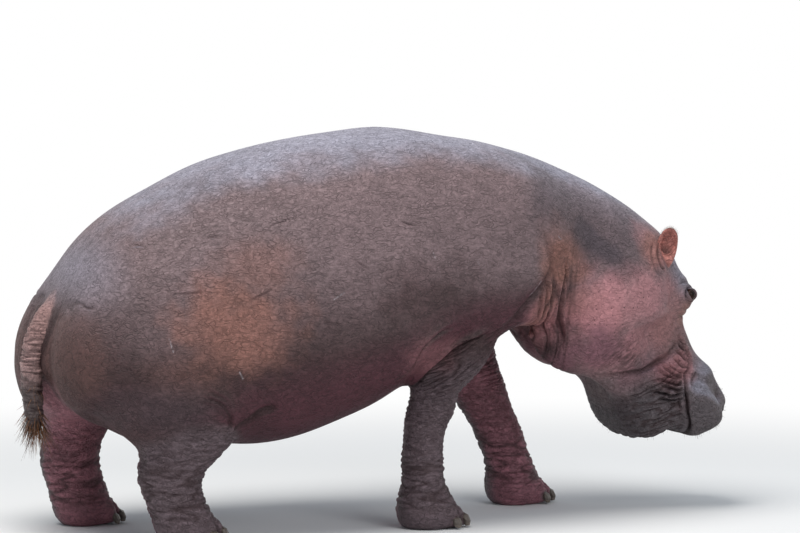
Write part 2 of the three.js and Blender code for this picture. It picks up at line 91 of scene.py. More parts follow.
camera = bpy.data.cameras.new("camera")
camera.lens, camera.sensor_width, camera.clip_end = LENS, SENSOR, 500
bpy.context.scene.camera = put("camera", camera, AZIMUTH, ELEVATION, DISTANCE)
softbox("softbox_above", -60, 68, 6.0, 4.5, 350, (1.0, 0.98, 0.95))
softbox("softbox_side", 10, 28, 7.0, 3.5, 110, (0.95, 0.97, 1.0))


class Wire:
    """A shader socket that can be reckoned with like a number."""

    def __init__(self, tree, socket):
        self.tree, self.socket = tree, socket

    def maths(self, operation, *others, **settings):
        return wire(self.tree, "Math", dict(enumerate((self, *others))), operation=operation, **settings)

    def __mul__(self, other):
        return self.maths("MULTIPLY", other)

    def step(self, low, high, out_low=0.0, out_high=1.0):
        """A smooth step from low to high."""
        spans = {"Value": self, "From Min": low, "From Max": high, "To Min": out_low, "To Max": out_high}
        return wire(self.tree, "MapRange", spans, interpolation_type="SMOOTHSTEP")


def feed(tree, socket, value):
    """Joins a wire to the socket, or sets it to a plain value."""
    if isinstance(value, Wire):
        tree.links.new(value.socket, socket)
    else:
        socket.default_value = value


def node(tree, kind, inputs={}, **settings):
    """A new shader node; its inputs are plain values or wires."""
    new = tree.nodes.new("ShaderNode" + kind)
    for name, value in settings.items():
        setattr(new, name, value)
    for name, value in inputs.items():
        feed(tree, new.inputs[name], value)
    return new


def wire(tree, kind, inputs={}, output=0, **settings):
    return Wire(tree, node(tree, kind, inputs, **settings).outputs[output])


def new_material(name):
    material = bpy.data.materials.new(name)
    material.use_nodes = True
    material.node_tree.nodes.clear()
    return material, material.node_tree


def white_to_the_eye(tree, plain, output, share=None):
    """The camera, mirrors and glass see plain white instead of the shader, where share is 1."""
    path = node(tree, "LightPath")
    seen = Wire(tree, path.outputs["Is Camera Ray"])
    for ray in ("Is Glossy Ray", "Is Transmission Ray"):
        seen = seen.maths("ADD", Wire(tree, path.outputs[ray]), use_clamp=True)
    if share:
        seen *= share
    white = wire(tree, "Background" if output == "World" else "Emission", {"Color": (1, 1, 1, 1)})
    node(tree, "Output" + output, {"Surface": wire(tree, "MixShader", {0: seen, 1: plain, 2: white})})


world = bpy.data.worlds.new("studio")
bpy.context.scene.world = world
world.use_nodes = True
world.node_tree.nodes.clear()
sky = wire(world.node_tree, "Background", {"Color": SKY, "Strength": SKY_POWER})
white_to_the_eye(world.node_tree, sky, "World")
bpy.context.scene.view_settings.view_transform = "Standard"

bpy.ops.mesh.primitive_plane_add(size=FLOOR_SIDE, location=(0, 0, LOW[2]))
floor = bpy.context.object
floor.name = "floor"
pale, tree = new_material("pale_floor")
away = wire(tree, "VectorMath", {0: wire(tree, "NewGeometry")}, "Value", operation="LENGTH")
white_to_the_eye(tree, wire(tree, "BsdfDiffuse", {"Color": FLOOR_PAINT}), "Material", away.step(*FLOOR_FADE))
floor.data.materials.append(pale)

# ---------------------------------------------------------------- skin
# One bare hide over the whole body, with no seam: a cast of the flesh below it, let down a
# little at the facets, and finer where the head, legs and tail are worked. It is closed, and
# the eyes and toenails are set into it.

VOXEL, RELAX_ROUNDS, EASE_ROUNDS = 0.011, 90, 20
FLESH = sorted(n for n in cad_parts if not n.startswith("ear"))
# How freely each part's cast is relaxed, to lose the facets of the flesh below.
EASE = {"rump": 1.0, "trunk": 1.0, "shoulders": 1.0, "neck": 0.55, "head": 0.16, "lower_jaw": 0.16,
        "leg": 0.3, "foot": 0.1, "tail": 0.04, "eye": 0.02, "nail": 0.05}
# The head hangs at a slope. Its own directions run from the eyes to the nose, and out of the brow.
HEAD_SLOPE = radians(68)
TO_NOSE = np.array([cos(HEAD_SLOPE), 0, -sin(HEAD_SLOPE)])
TO_BROW = np.array([sin(HEAD_SLOPE), 0, cos(HEAD_SLOPE)])
SIDES = (("right", -1), ("left", 1))


def cast_of(nodes, voxel):
    """One closed mesh of even quads over these CAD nodes."""
    joined = bmesh.new()
    for name in nodes:
        joined.from_mesh(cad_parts[name].data)
    rough = bpy.data.meshes.new("cast")
    joined.to_mesh(rough)
    joined.free()
    thing = bpy.data.objects.new("cast", rough)
    bpy.context.scene.collection.objects.link(thing)
    remesh = thing.modifiers.new("remesh", "REMESH")
    remesh.mode, remesh.voxel_size = "VOXEL", voxel
    mesh = bpy.data.meshes.new_from_object(thing.evaluated_get(bpy.context.evaluated_depsgraph_get()))
    bpy.data.objects.remove(thing)
    return mesh


def values_of(items, field, wide=1, kind=np.float32):
    """One property of every item of a mesh, as an array."""
    flat = np.empty(len(items) * wide, kind)
    items.foreach_get(field, flat)
    return flat.reshape(-1, wide).squeeze().astype(float if kind is np.float32 else int)


def points_of(mesh):
    return values_of(mesh.vertices, "co", 3)


def normals_of(mesh):
    return values_of(mesh.vertex_normals, "vector", 3)


def place(mesh, points):
    mesh.vertices.foreach_set("co", points.ravel())
    mesh.update()


def rings_of(mesh):
    """Every vertex's neighbours in one list, with where each vertex's share starts and its length."""
    a, b = values_of(mesh.edges, "vertices", 2, np.int32).T
    start, neighbour = np.concatenate([a, b]), np.concatenate([b, a])
    count = np.bincount(start, minlength=len(mesh.vertices))
    return neighbour[np.argsort(start, kind="stable")], np.concatenate([[0], np.cumsum(count)[:-1]]), count


def relax(values, rings, rounds, share=1.0):
    """Spreads values over the surface; share is how far each round goes towards the mean."""
    neighbour, start, count = rings
    share = np.asarray(share)
    if values.ndim > 1:
        count = count[:, None]
        share = share[:, None] if share.ndim else share
    for _ in range(rounds):
        values = values + share * (np.add.reduceat(values[neighbour], start, axis=0) / count - values)
    return values


def smoothed(points, rings, rounds, share):
    """Relaxes the surface, then gives back the broad shape that this takes away."""
    soft = relax(points, rings, rounds, share)
    return soft + relax(points - soft, rings, rounds, share)


def nearest_node(points, nodes):
    """The index of the CAD node that each point lies closest to."""
    corners, faces, owner = [], [], []
    for index, name in enumerate(nodes):
        mesh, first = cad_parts[name].data, len(corners)
        corners += [v.co.copy() for v in mesh.vertices]
        faces += [[first + i for i in p.vertices] for p in mesh.polygons]
        owner += [index] * len(mesh.polygons)
    tree = BVHTree.FromPolygons(corners, faces)
    return np.array([owner[tree.find_nearest(p)[2]] for p in points.tolist()])


def middle(name):
    low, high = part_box(name)
    return np.array(low + high) / 2


def in_head(points):
    """Places measured from between the eyes: towards the nose, to the left, and out of the brow."""
    away = points - EYES
    return np.stack([away @ TO_NOSE, away[:, 1], away @ TO_BROW], 1)


def from_head(along, left, out):
    return EYES + along * TO_NOSE + np.array([0, left, 0]) + out * TO_BROW


hide = cast_of(FLESH, VOXEL)
points, rings = points_of(hide), rings_of(hide)
part = nearest_node(points, FLESH)
ease = np.array([EASE.get(n, EASE.get(n.split("_")[0])) for n in FLESH])[part]
points = smoothed(points, rings, RELAX_ROUNDS, relax(ease, rings, EASE_ROUNDS))
place(hide, points)
EYES = (middle("eye_left") + middle("eye_right")) / 2

# ---------------------------------------------------------------- folds laid out
# The hide hangs loose where the body bends: it creases behind the jaw, before the shoulder, in
# the armpit and round the legs, and it is pulled in at the lips, nostrils, lids and nails. The
# lines are drawn before the hide is worked, so that it can be made fine enough along them.

# The paths are in millimetres, seen from the side, or along the head for those on the face.
FOLDS = []
FOLD_FINENESS = 0.62  # the widest spacing of the mesh, in a fold's widths
CURVE_STEPS = 6
WHERE = {"right": lambda p: p[:, 1] < -0.10, "left": lambda p: p[:, 1] > 0.10,
         "both": lambda p: np.abs(p[:, 1]) > 0.10,
         "face": lambda p: (np.abs(p[:, 1]) > 0.06) & (p[:, 0] > 0.6)}


def curved(path):
    """A smooth line through the path's points."""
    path = np.array(path, float)
    ends = np.concatenate([[2 * path[0] - path[1]], path, [2 * path[-1] - path[-2]]])
    line = []
    for a, b, c, d in zip(ends, ends[1:], ends[2:], ends[3:]):
        for t in np.arange(CURVE_STEPS) / CURVE_STEPS:
            line.append(b + 0.5 * t * (c - a + t * (2 * a - 5 * b + 4 * c - d + t * (3 * (b - c) + d - a))))
    return np.array(line + [path[-1]])


def fold(where, path, width, depth, rim=0.3, lift=0.0, fade=(0.2, 0.2), stray=1.0):
    """A valley along the path, with a soft rim; lift raises the hide on its left."""
    FOLDS.append((where, curved(path) / 1000, width / 1000, depth / 1000, rim, lift / 1000, fade, stray))


def plan_of(where, points):
    """The hide's places laid flat: seen along the head for the face, and else from the side."""
    return (in_head(points) if where == "face" else points)[:, [0, 2]]


# The mouth: shut, with a lip line that climbs to the corner, and a crease from there to the eye.
LIP_LINE = [(236, -135), (262, -158), (290, -177), (317, -186), (348, -187), (390, -188), (434, -189),
            (500, -178), (560, -168)]
fold("face", [(107, -81), (131, -90), (157, -91), (183, -88), (206, -95), (226, -117), (245, -142)],
     5.5, 16, rim=0.5, lift=5, fade=(0.3, 0.0))
# Folds fan out from the corner of the mouth, from the crease by the lips back to the cheek.
CORNER_FOLDS = 12
BY_THE_CHEEK = curved([(108, -100), (148, -146), (158, -205), (170, -280), (262, -312)])
BY_THE_LIPS = curved([(190, -98), (236, -139), (262, -170), (304, -192)])
uneven = np.random.default_rng(3)
for k in range(CORNER_FOLDS):
    share = min((k + 0.35 * uneven.random()) / (CORNER_FOLDS - 1), 1)
    start = BY_THE_CHEEK[int(share * (len(BY_THE_CHEEK) - 1))]
    end = BY_THE_LIPS[int(share * (len(BY_THE_LIPS) - 1))]
    start = start + (end - start) * 0.30 * uneven.random()
    sag = np.array([4, -6]) * (0.4 + 1.2 * uneven.random())
    width, depth = 3.4 + 1.2 * uneven.random(), 9 + 6 * uneven.random()
    fold("face", [start, (start + end) / 2 + sag, end], width, depth, rim=0.9, fade=(0.55, 0.10), stray=1.3)

# The cheek sags over the jaw.
fold("face", [(60, -540), (100, -460), (131, -381), (154, -293), (160, -213), (150, -152), (122, -104),
              (70, -60)], 11, 17, rim=0.1, lift=16, fade=(0.5, 0.4))

# Lip pad, nostril mound and the crease under the lobe at the lower lip.
fold("face", [(340, -60), (375, -42), (408, -50), (432, -85)], 10, 6, fade=(0.5, 0.5))
fold("face", [(290, -152), (270, -124), (258, -96)], 5, 6)
fold("face", [(300, -206), (322, -214), (346, -206)], 5, 7)

# Round the eye and at the root of the ear: each crease, its width and its depth.
EYE_AND_EAR_CREASES = [
    ([(-62, -30), (-50, 6), (-24, 30), (10, 36)], 6, 4), ([(30, -52), (50, -30), (52, 0)], 5, 3),
    ([(46, -66), (70, -44), (76, -12)], 5, 2.5), ([(-225, -55), (-200, -88), (-163, -98), (-134, -80)], 6, 7),
    ([(-245, -75), (-215, -118), (-165, -132), (-120, -108)], 6, 4)]
for crease in EYE_AND_EAR_CREASES:
    fold("face", *crease)

# Neck: the shoulder rides over it, and it folds behind the jaw.
fold("both", [(375, 1060), (455, 985), (485, 905), (456, 843), (396, 770), (341, 703), (270, 655)],
     20, 21, rim=0.1, lift=-14, fade=(0.65, 0.2))
fold("both", [(546, 935), (552, 891), (546, 827), (560, 757), (577, 688), (588, 600)], 6, 13, rim=0.6,
     fade=(0.25, 0.2))
BEHIND_JAW = np.array([(530, 900), (527, 830), (541, 760), (556, 690), (560, 620)])
for shift, depth in ((-28, 6), (-55, 6), (26, 3), (-80, 4)):
    fold("both", BEHIND_JAW + [shift, 0], 5, depth, rim=0.6, fade=(0.35, 0.3), stray=1.8)

# Armpits: the body's hide laps over the forearm in two rolls.
fold("right", [(8, 480), (37, 521), (57, 555), (92, 591), (124, 619), (175, 650), (229, 670), (281, 677)],
     6.5, 20, rim=0.0, lift=20, fade=(0.1, 0.25), stray=0.3)
fold("right", [(-100, 520), (-52, 548), (-34, 588), (-20, 636), (19, 675), (70, 702), (130, 716)], 7, 12,
     rim=0.2, lift=8, fade=(0.15, 0.4), stray=0.4)
fold("left", [(226, 520), (250, 560), (300, 610), (360, 645), (430, 668), (500, 672)], 6.5, 18,
     rim=0.0, lift=18, fade=(0.1, 0.25), stray=0.3)
fold("left", [(150, 540), (190, 590), (225, 640), (280, 690), (340, 720)], 7, 12, rim=0.2, lift=8,
     fade=(0.15, 0.4), stray=0.4)

# Knees behind: the flank's hide hangs in a web before the thigh.
KNEE_WEB = np.array([(-840, 515), (-800, 501), (-758, 485), (-724, 456), (-700, 415), (-700, 350)])
KNEE_FOLD = np.array([(-690, 370), (-624, 414), (-588, 441), (-526, 456)])
for where, back in (("right", 0), ("left", -140)):
    for rise, depth in ((0, 8), (22, 4), (-20, 4)):
        fold(where, KNEE_WEB + [back, rise], 6, depth, rim=0.5, lift=0.4 * depth, fade=(0.5, 0.4), stray=1.6)
    fold(where, KNEE_FOLD + [back, 0], 10, 10, rim=0.3, lift=-6)

# The hide over the root of the tail, and a few old creases on the flanks and back.
fold("both", [(-1204, 774), (-1187, 804), (-1171, 812), (-1161, 801), (-1132, 801)], 5, 4)
OLD_CREASES = [
    [(-999, 1001), (-975, 1006), (-953, 1002)], [(-567, 1063), (-514, 1082), (-459, 1088)],
    [(-777, 1026), (-745, 1030), (-713, 1029)], [(-813, 893), (-815, 856), (-820, 819)],
    [(-933, 843), (-850, 852), (-766, 847)], [(-665, 816), (-610, 842), (-553, 877)],
    [(-300, 960), (-262, 930), (-232, 914)], [(-420, 760), (-380, 742), (-330, 738)],
    [(-120, 1080), (-70, 1060), (-30, 1066)]]
for path in OLD_CREASES:
    fold("both", path, 3.8, 2.8, rim=0.6, fade=(0.5, 0.5))

# Pale scars, scratched into the hide.
SCARS = [
    [(-934, 703), (-929, 682), (-922, 660)], [(-368, 823), (-350, 833), (-332, 842)],
    [(432, 855), (414, 832), (392, 804)], [(510, 1006), (522, 996)], [(168, 936), (176, 922)],
    [(3, 966), (8, 948)], [(-690, 585), (-676, 560)]]
for path in SCARS:
    fold("right", path, 2.8, 0.6, rim=0.5, fade=(0.3, 0.3), stray=0.5)


def from_line(plan, line):
    """Distance to the line, share of its length passed, and the side: positive on its left."""
    lengths = np.linalg.norm(np.diff(line, axis=0), axis=1)
    passed = np.concatenate([[0], np.cumsum(lengths)])
    best = np.full(len(plan), np.inf)
    share, side = np.zeros(len(plan)), np.zeros(len(plan))
    for a, b, length, start in zip(line, line[1:], lengths, passed):
        along, away = (b - a) / length, plan - a
        t = np.clip(away @ along, 0, length)
        off = np.linalg.norm(away - t[:, None] * along, axis=1)
        closer = off < best
        best = np.where(closer, off, best)
        share = np.where(closer, (start + t) / passed[-1], share)
        side = np.where(closer, np.sign(along[0] * away[:, 1] - along[1] * away[:, 0]), side)
    return best, share, side


def by_line(where, line, points, reach):
    """Which points lie in the box round the line, and their places laid flat."""
    plan = plan_of(where, points)
    near_it = (plan > line.min(0) - reach).all(1) & (plan < line.max(0) + reach).all(1)
    at = np.flatnonzero(near_it & WHERE[where](points))
    return at, plan[at]


def refine(mesh, wanted):
    """Halves every edge between two wanted vertices."""
    work = bmesh.new()
    work.from_mesh(mesh)
    edges = [e for e in work.edges if wanted[e.verts[0].index] and wanted[e.verts[1].index]]
    bmesh.ops.subdivide_edges(work, edges=edges, cuts=1, use_grid_fill=True)
    work.to_mesh(mesh)
    work.free()


def near(points, *places):
    """Whether each point lies by one of these places: each is a list of spots and their reach."""
    spots = [(spot, reach) for many, reach in places for spot in many]
    return np.any([((points - spot) ** 2).sum(1) < reach ** 2 for spot, reach in spots], 0)


def along_folds(points, spacing):
    """Whether each point lies by a fold too narrow for a mesh of that spacing."""
    found = np.zeros(len(points), bool)
    for where, line, width, *_ in FOLDS:
        if spacing > FOLD_FINENESS * width:
            reach = 3.5 * width + 0.006
            at, plan = by_line(where, line, points, reach)
            found[at] |= from_line(plan, line)[0] < reach
    return found


NOSTRIL_DOWN, NOSTRIL_APART = 0.418, 0.066
NOSTRILS = [from_head(NOSTRIL_DOWN, side * NOSTRIL_APART, -0.022) for _, side in SIDES]
EAR_ROOTS = [from_head(-0.178, side * 0.158, -0.068) for _, side in SIDES]
EYE_MIDDLES = [middle("eye_" + name) for name, _ in SIDES]
ELBOWS = [np.array([0.13, -0.30, 0.52]), np.array([0.42, 0.30, 0.52])]
TOES = [middle(n) for n in FLESH if n.startswith("nail")]
SMOOTH_PARTS = [FLESH.index(n) for n in ("rump", "trunk", "shoulders")]
CLOSE_WORK = (NOSTRILS + EYE_MIDDLES, 0.07), (EAR_ROOTS, 0.06), (ELBOWS, 0.20), (TOES, 0.04)
FINEST_WORK = (EYE_MIDDLES, 0.036), (NOSTRILS, 0.03)

# The first cut halves the mesh on all but the broad parts, the second at the worked places, and
# the third at the eyelids and nostrils.
refine(hide, ~np.isin(part, SMOOTH_PARTS) | near(points, (ELBOWS, 0.24)) | along_folds(points, VOXEL))
points = points_of(hide)
(x, y, z), (nose, left, brow) = points.T, in_head(points).T
lips = (nose > 0.12) & (brow > -0.32) & (brow < -0.08) & (np.abs(left) > 0.08)
neck_side = (np.abs(y) > 0.12) & (np.abs(x - 0.55) < 0.13) & (np.abs(z - 0.78) < 0.2)
tail_low = (x < -1.16) & (np.abs(y) < 0.06) & (z < 0.84)
refine(hide, lips | neck_side | tail_low | near(points, *CLOSE_WORK) | along_folds(points, VOXEL / 2))
points = points_of(hide)
refine(hide, near(points, *FINEST_WORK))

# ---------------------------------------------------------------- ears
# Small upright ears, oval and cupped, of thin gristle under the same hide. Each grows out of a
# hole cut in the hide: it is drawn up to the rim, over it, and down the inside to the canal.

EAR_HALF_WIDTH, EAR_HALF_HEIGHT, EAR_WALL = 0.033, 0.047, 0.0045
EAR_HOLE = np.array([0.025, 0.020, 0.05])  # half its size across the ear, before it and up it
EAR_OUTSIDE_ROWS, EAR_INSIDE_ROWS = 16, 13


def grow_ear(work, root, side):
    """Cuts the hide round the root and draws the ear out of the cut; returns its new vertices."""
    up = Vector(-0.84 * TO_NOSE + np.array([0, 0.26 * side, 0]) + 0.48 * TO_BROW).normalized()
    facing = Vector(-0.2 * TO_NOSE + np.array([0, 0.9 * side, 0]) - 0.36 * TO_BROW)
    facing = (facing - up * facing.dot(up)).normalized()
    across = up.cross(facing)

    def own(co):
        """A place in the ear's own directions: across it, before it and up it."""
        away = co - root
        return np.array([away.dot(across), away.dot(facing), away.dot(up)])

    cut = []
    for face in work.faces:
        a, f, u = own(face.calc_center_median()) / EAR_HOLE
        if a * a + f * f < 1 and abs(u) < 1:
            cut.append(face)
    bmesh.ops.delete(work, geom=cut, context="FACES")
    first, ahead = next(e for e in work.edges if e.is_boundary).verts
    loop = [first]
    while ahead is not loop[0]:
        behind = loop[-1]
        loop.append(ahead)
        ahead = next(e.other_vert(ahead) for e in ahead.link_edges
                     if e.is_boundary and e.other_vert(ahead) is not behind)
    feet = [own(v.co) for v in loop]
    flat = [foot / EAR_HOLE for foot in feet]
    turn = sum(a[0] * b[1] - a[1] * b[0] for a, b in zip(flat, flat[1:] + flat[:1]))
    lengths = [0.0] + [(b.co - a.co).length for a, b in zip(loop, loop[1:])]
    whole = sum(lengths) + (loop[0].co - loop[-1].co).length
    start, sign = np.arctan2(flat[0][0], flat[0][1]), -1 if turn > 0 else 1
    angles = start + sign * 2 * np.pi * np.cumsum(lengths) / whole

    def shell(angle, share, foot):
        """A place on the ear's back or front: from its foot in the hide up to the rim."""
        rim = np.array([EAR_HALF_WIDTH * sin(angle), 0.006 * cos(angle) - 0.004,
                        0.052 - EAR_HALF_HEIGHT * cos(angle)])
        place = (1 - share) * foot + share * rim
        back, bulge = max(0.0, -cos(angle)), share * (1 - share) * 4
        place[0] += bulge * 0.007 * sin(angle)
        place[1] += bulge * (-0.016 * back + 0.004 * (1 - back))
        return place

    def lining(angle, share, foot):
        """A place on the wall of the hollow, inside the shell, with ridges of gristle."""
        place = shell(angle, share, 0.55 * foot * np.array([1, 1, 0]) + np.array([0, 0, 0.002]))
        inward = np.array([0.0, 0.004, place[2] * 0.9 + 0.004]) - place
        inward[2] *= 0.4
        inward /= np.linalg.norm(inward) + 1e-9
        ridge = 0.0030 * sin(4 * angle + 5 * share) * share * (1 - share) * 4
        if share == 1:
            return place + inward * EAR_WALL * 0.5 + np.array([0, 0.0012, 0.0012 * -cos(angle)])
        return place + inward * (EAR_WALL + ridge)

    outside = [(shell, step / EAR_OUTSIDE_ROWS) for step in range(1, EAR_OUTSIDE_ROWS + 1)]
    inside = [(lining, 1 - step / EAR_INSIDE_ROWS) for step in range(EAR_INSIDE_ROWS + 1)]
    made, row = [], loop
    for step, (wall, share) in enumerate(outside + inside):
        depth = max(0.0, (step - EAR_OUTSIDE_ROWS) / EAR_INSIDE_ROWS)
        fresh = []
        for angle, foot in zip(angles, feet):
            a, f, u = wall(angle, share, foot).tolist()
            fresh.append(work.verts.new(root + across * a + facing * f + up * u))
        for a, b, c, d in zip(row, fresh, fresh[1:] + fresh[:1], row[1:] + row[:1]):
            work.faces.new((d, a, b, c))
        made += [(v, depth) for v in fresh]
        row = fresh
    tip = work.verts.new(sum((v.co for v in row), Vector()) / len(row))
    for a, b in zip(row, row[1:] + row[:1]):
        work.faces.new((b, a, tip))
    return made + [(tip, 1.0)], up


work = bmesh.new()
work.from_mesh(hide)
ear_layer = work.verts.layers.float.new("ear")
hollow_layer = work.verts.layers.float.new("hollow")
EAR_AXES = []
for root, (_, side) in zip(EAR_ROOTS, SIDES):
    on_hide = BVHTree.FromBMesh(work).find_nearest(Vector(root))[0]
    made, up = grow_ear(work, on_hide, side)
    EAR_AXES.append((on_hide, up))
    for v, depth in made:
        v[ear_layer], v[hollow_layer] = 1.0, depth
bmesh.ops.recalc_face_normals(work, faces=work.faces)
work.to_mesh(hide)
work.free()

# ---------------------------------------------------------------- folds
# Each fold is pressed into the cast or raised from it along the surface's own direction. Between
# the drawn folds the hide wrinkles finely, across the way it is pushed together.

EAR_ROUNDS, HILL_HEIGHT, WANDER, WANDER_SIZE = 10, 1.6, 0.006, 0.07
TAIL_SPREAD, TAIL_THICKER, TAIL_SWING = 0.85, 0.25, 0.012
LEGS = ("front_right", "front_left", "hind_right", "hind_left")
EYE_RADIUS = 0.021
LID_LONG, LID_HIGH, LID_LOW = 0.0205, 0.0140, 0.0145
NOSTRIL_LONG, NOSTRIL_WIDE, NOSTRIL_DEEP, NOSTRIL_SLANT, NOSTRIL_BOW = 0.024, 0.0065, 0.030, 35, 9.0
FOREARM_LEAN, THIGH_ARCH, FAR_ARCH = 0.085, 0.076, 0.068
HOCK_FILL, RUMP_FILL, BUTTOCK_SWELL = 0.030, 0.011, 0.030
SLACK, LIP_GROOVE, LIP_SWELL, LIP_PAD, LOBE_SWELL = 0.006, 0.016, 0.012, 0.004, 0.011
MUZZLE_FULL, MUZZLE_NARROW, NOSTRIL_SWELL, NOSTRIL_RIM = 0.034, 0.022, 0.017, 0.008
TOE_GAP, NAIL_SWELL, BROW_SWELL = 0.012, 0.004, 0.0035
LID_CREASES = (0.0245, 0.0014), (0.030, 0.0012), (0.036, 0.0008)  # how far out, and how deep


def ramp(value, low, high):
    """0 below low, 1 above high, smooth between; the other way round where low is above high."""
    t = np.clip((value - low) / (high - low), 0, 1)
    return t * t * (3 - 2 * t)


def bell(value, width):
    return np.exp(-(value / width) ** 2)


def is_part(*names):
    return np.isin(part, [i for i, n in enumerate(FLESH) if n.startswith(names)])


def turned(a, b, degrees):
    """Two coordinates turned: along the angle, and across it."""
    angle = radians(degrees)
    return a * cos(angle) + b * sin(angle), b * cos(angle) - a * sin(angle)


points, rings = points_of(hide), rings_of(hide)
part = nearest_node(points, FLESH)
ear, hollow = (values_of(hide.attributes[name].data, "value") for name in ("ear", "hollow"))
from_ear = np.min([np.linalg.norm(points - np.array(root), axis=1) for root, _ in EAR_AXES], 0)
round_ear = bell(from_ear - 0.024, 0.014) * ramp(ear + relax(1 - ear, rings, 4), 0.0, 1.0)
points = relax(points, rings, EAR_ROUNDS, 0.5 * round_ear)
# The tail is flattened from the middle down, and hangs a little to the right.
tail_share = is_part("tail").astype(float)
tail_end = tail_share * ramp(points[:, 2], 0.76, 0.50)
tail_x = np.mean(points[tail_end > 0.9, 0])
points[:, 1] *= 1 + TAIL_SPREAD * tail_end
points[:, 0] += tail_end * (TAIL_SWING + TAIL_THICKER * (points[:, 0] - tail_x))
x, y, z = points.T
near_side, far_side = ramp(-y, 0.08, 0.20), ramp(y, 0.03, 0.10) * (1 - tail_share)
# The near forearm is lean in front, so that the chest shows between the legs.
x -= FOREARM_LEAN * ramp(x, 0.06, 0.30) * ramp(z, 0.36, 0.47) * ramp(z, 0.72, 0.64) * near_side
# Both thighs arch up behind, and the far one fills out behind the hock and below the rump.
z += THIGH_ARCH * bell(np.hypot(x + 1.074, z - 0.417), 0.096) * near_side
x -= HOCK_FILL * ramp(x, -0.98, -1.12) * bell(z - 0.41, 0.07) * far_side
x -= RUMP_FILL * ramp(x, -1.00, -1.15) * bell(z - 0.52, 0.08) * far_side
z += FAR_ARCH * bell(np.hypot(x + 0.917, z - 0.306), 0.138) * ramp(y, -0.14, -0.04)
# The near buttock swells against the tail.
beside = bell(y + 0.060, 0.045) * ramp(x, -1.05, -1.15) * (1 - tail_share)
x -= BUTTOCK_SWELL * beside * bell(z - 0.575, 0.075)
place(hide, points)
# The second array is the painted shade: how dark each place is painted, where shade falls in creases, slits
# and hollows.
height, painted_shade = np.zeros(len(points)), np.zeros(len(points))

dice = np.random.default_rng(7)
SHUFFLE = dice.permutation(256)
TILTS = dice.normal(size=(256, 3))
TILTS /= np.linalg.norm(TILTS, axis=1)[:, None]


def noise(p, seed=0):
    """Smooth random hills from about -1 to 1, about one to each unit."""
    p = p + 17.31 * seed
    cell = np.floor(p).astype(int)
    inside = p - cell
    blend = inside ** 3 * (inside * (inside * 6 - 15) + 10)
    total = np.zeros(len(p))
    for corner in np.ndindex(2, 2, 2):
        pick, weight, slope = np.zeros(len(p), int), np.ones(len(p)), np.zeros(len(p))
        for axis in range(3):
            pick = SHUFFLE[(pick + cell[:, axis] + corner[axis]) & 255]
            weight *= blend[:, axis] if corner[axis] else 1 - blend[:, axis]
        for axis in range(3):
            slope += TILTS[pick, axis] * (inside[:, axis] - corner[axis])
        total += weight * slope
    return total * HILL_HEIGHT


def paint_shade(shares):
    """Marks places for painted shade in the colours, where shade falls in creases, slits and hollows."""
    painted_shade[:] = np.maximum(painted_shade, shares)


def wrinkle(strength, places, sizes, depth, width, seed, finer=1.0):
    """Presses valleys along the still lines of random hills, stretched to these sizes, and marks the valleys
    for painted shade.
    """
    at = np.flatnonzero(strength > 0.01)
    stretched = np.stack([(p / size)[at] for p, size in zip(places, sizes)], 1) * finer
    valley = bell(noise(stretched, seed), width) * strength[at]
    height[at] -= depth * (valley - 0.35 * strength[at])
    painted_shade[at] = np.maximum(painted_shade[at], valley * min(1.0, depth / 0.005))


wander = np.stack([noise(points / WANDER_SIZE, k) for k in (1, 2)], 1) * WANDER
for where, line, width, depth, rim, lift, fade, stray in FOLDS:
    at, plan = by_line(where, line, points, 6 * width)
    at, plan = at[ear[at] < 0.5], plan[ear[at] < 0.5]
    off, share, side = from_line(plan + stray * wander[at], line)
    ends = ramp(share, 0, fade[0] + 1e-6) * ramp(share, 1, 1 - fade[1] - 1e-6)
    valley = bell(off, width) * ends
    height[at] += ends * rim * depth * bell(off - 2.2 * width, 1.3 * width) - depth * valley
    height[at] += ends * lift * ramp(off * side, -width, width) * bell(off, 4.5 * width)
    # Painted shade in the fold's valley.
    painted_shade[at] = np.maximum(painted_shade[at], valley * min(1.0, depth / 0.008))

x, y, z = points.T
nose, _, brow = in_head(points).T
on_face = ramp(x, 0.60, 0.72) * ramp(z, 0.17, 0.23)
flank = np.abs(y)

# Broad, slack swells of fat and muscle under the hide.
height += SLACK * noise(points / 0.30, 5) * ramp(x, 0.75, 0.45) * ramp(z, 0.30, 0.50)

# The lips, a pale lobe at the lower one, and the swelling over the nostrils.
lip_height = np.interp(nose, *np.array(LIP_LINE).T / 1000)
over_lip = brow - lip_height + 0.004 * noise(points / 0.06, 9)
past_corner = ramp(nose, 0.236, 0.258) * on_face
height -= LIP_GROOVE * bell(over_lip, 0.0035) * past_corner
height += LIP_SWELL * past_corner * ramp(over_lip, -0.002, 0.006) * bell(over_lip, 0.055)
height += LIP_PAD * past_corner * bell(over_lip + 0.015, 0.010)
# Painted shade in the groove between the lips.
paint_shade(bell(over_lip, 0.0042) * past_corner)
# The side of the muzzle is full above the nostrils and drawn in just before them.
muzzle_side = ramp(brow, -0.15, -0.08) * on_face
height += MUZZLE_FULL * bell(nose - 0.296, 0.062) * ramp(flank, 0.02, 0.09) * muzzle_side
height += MUZZLE_NARROW * bell(nose - 0.440, 0.036) * ramp(flank, 0.09, 0.15) * muzzle_side
for nostril, (_, side) in zip(NOSTRILS, SIDES):
    lobe = from_head(0.330, side * 0.205, -0.198)
    height += LOBE_SWELL * bell(np.linalg.norm(points - lobe, axis=1), 0.016)
    height += NOSTRIL_SWELL * bell(np.linalg.norm(points - nostril, axis=1), 0.050)
    # The nostril is a slanting slit that closes under water.
    along, across = turned(nose - NOSTRIL_DOWN, y - side * NOSTRIL_APART, side * NOSTRIL_SLANT)
    across = across + NOSTRIL_BOW * along ** 2
    top = ramp(brow, -0.08, -0.05)
    slit = bell(across, NOSTRIL_WIDE) * bell(along, NOSTRIL_LONG) * top
    height += top * NOSTRIL_RIM * bell(across - 0.002, 0.017) * bell(along, 0.034) - NOSTRIL_DEEP * slit
    # Painted shade in the nostril slit.
    paint_shade(slit)

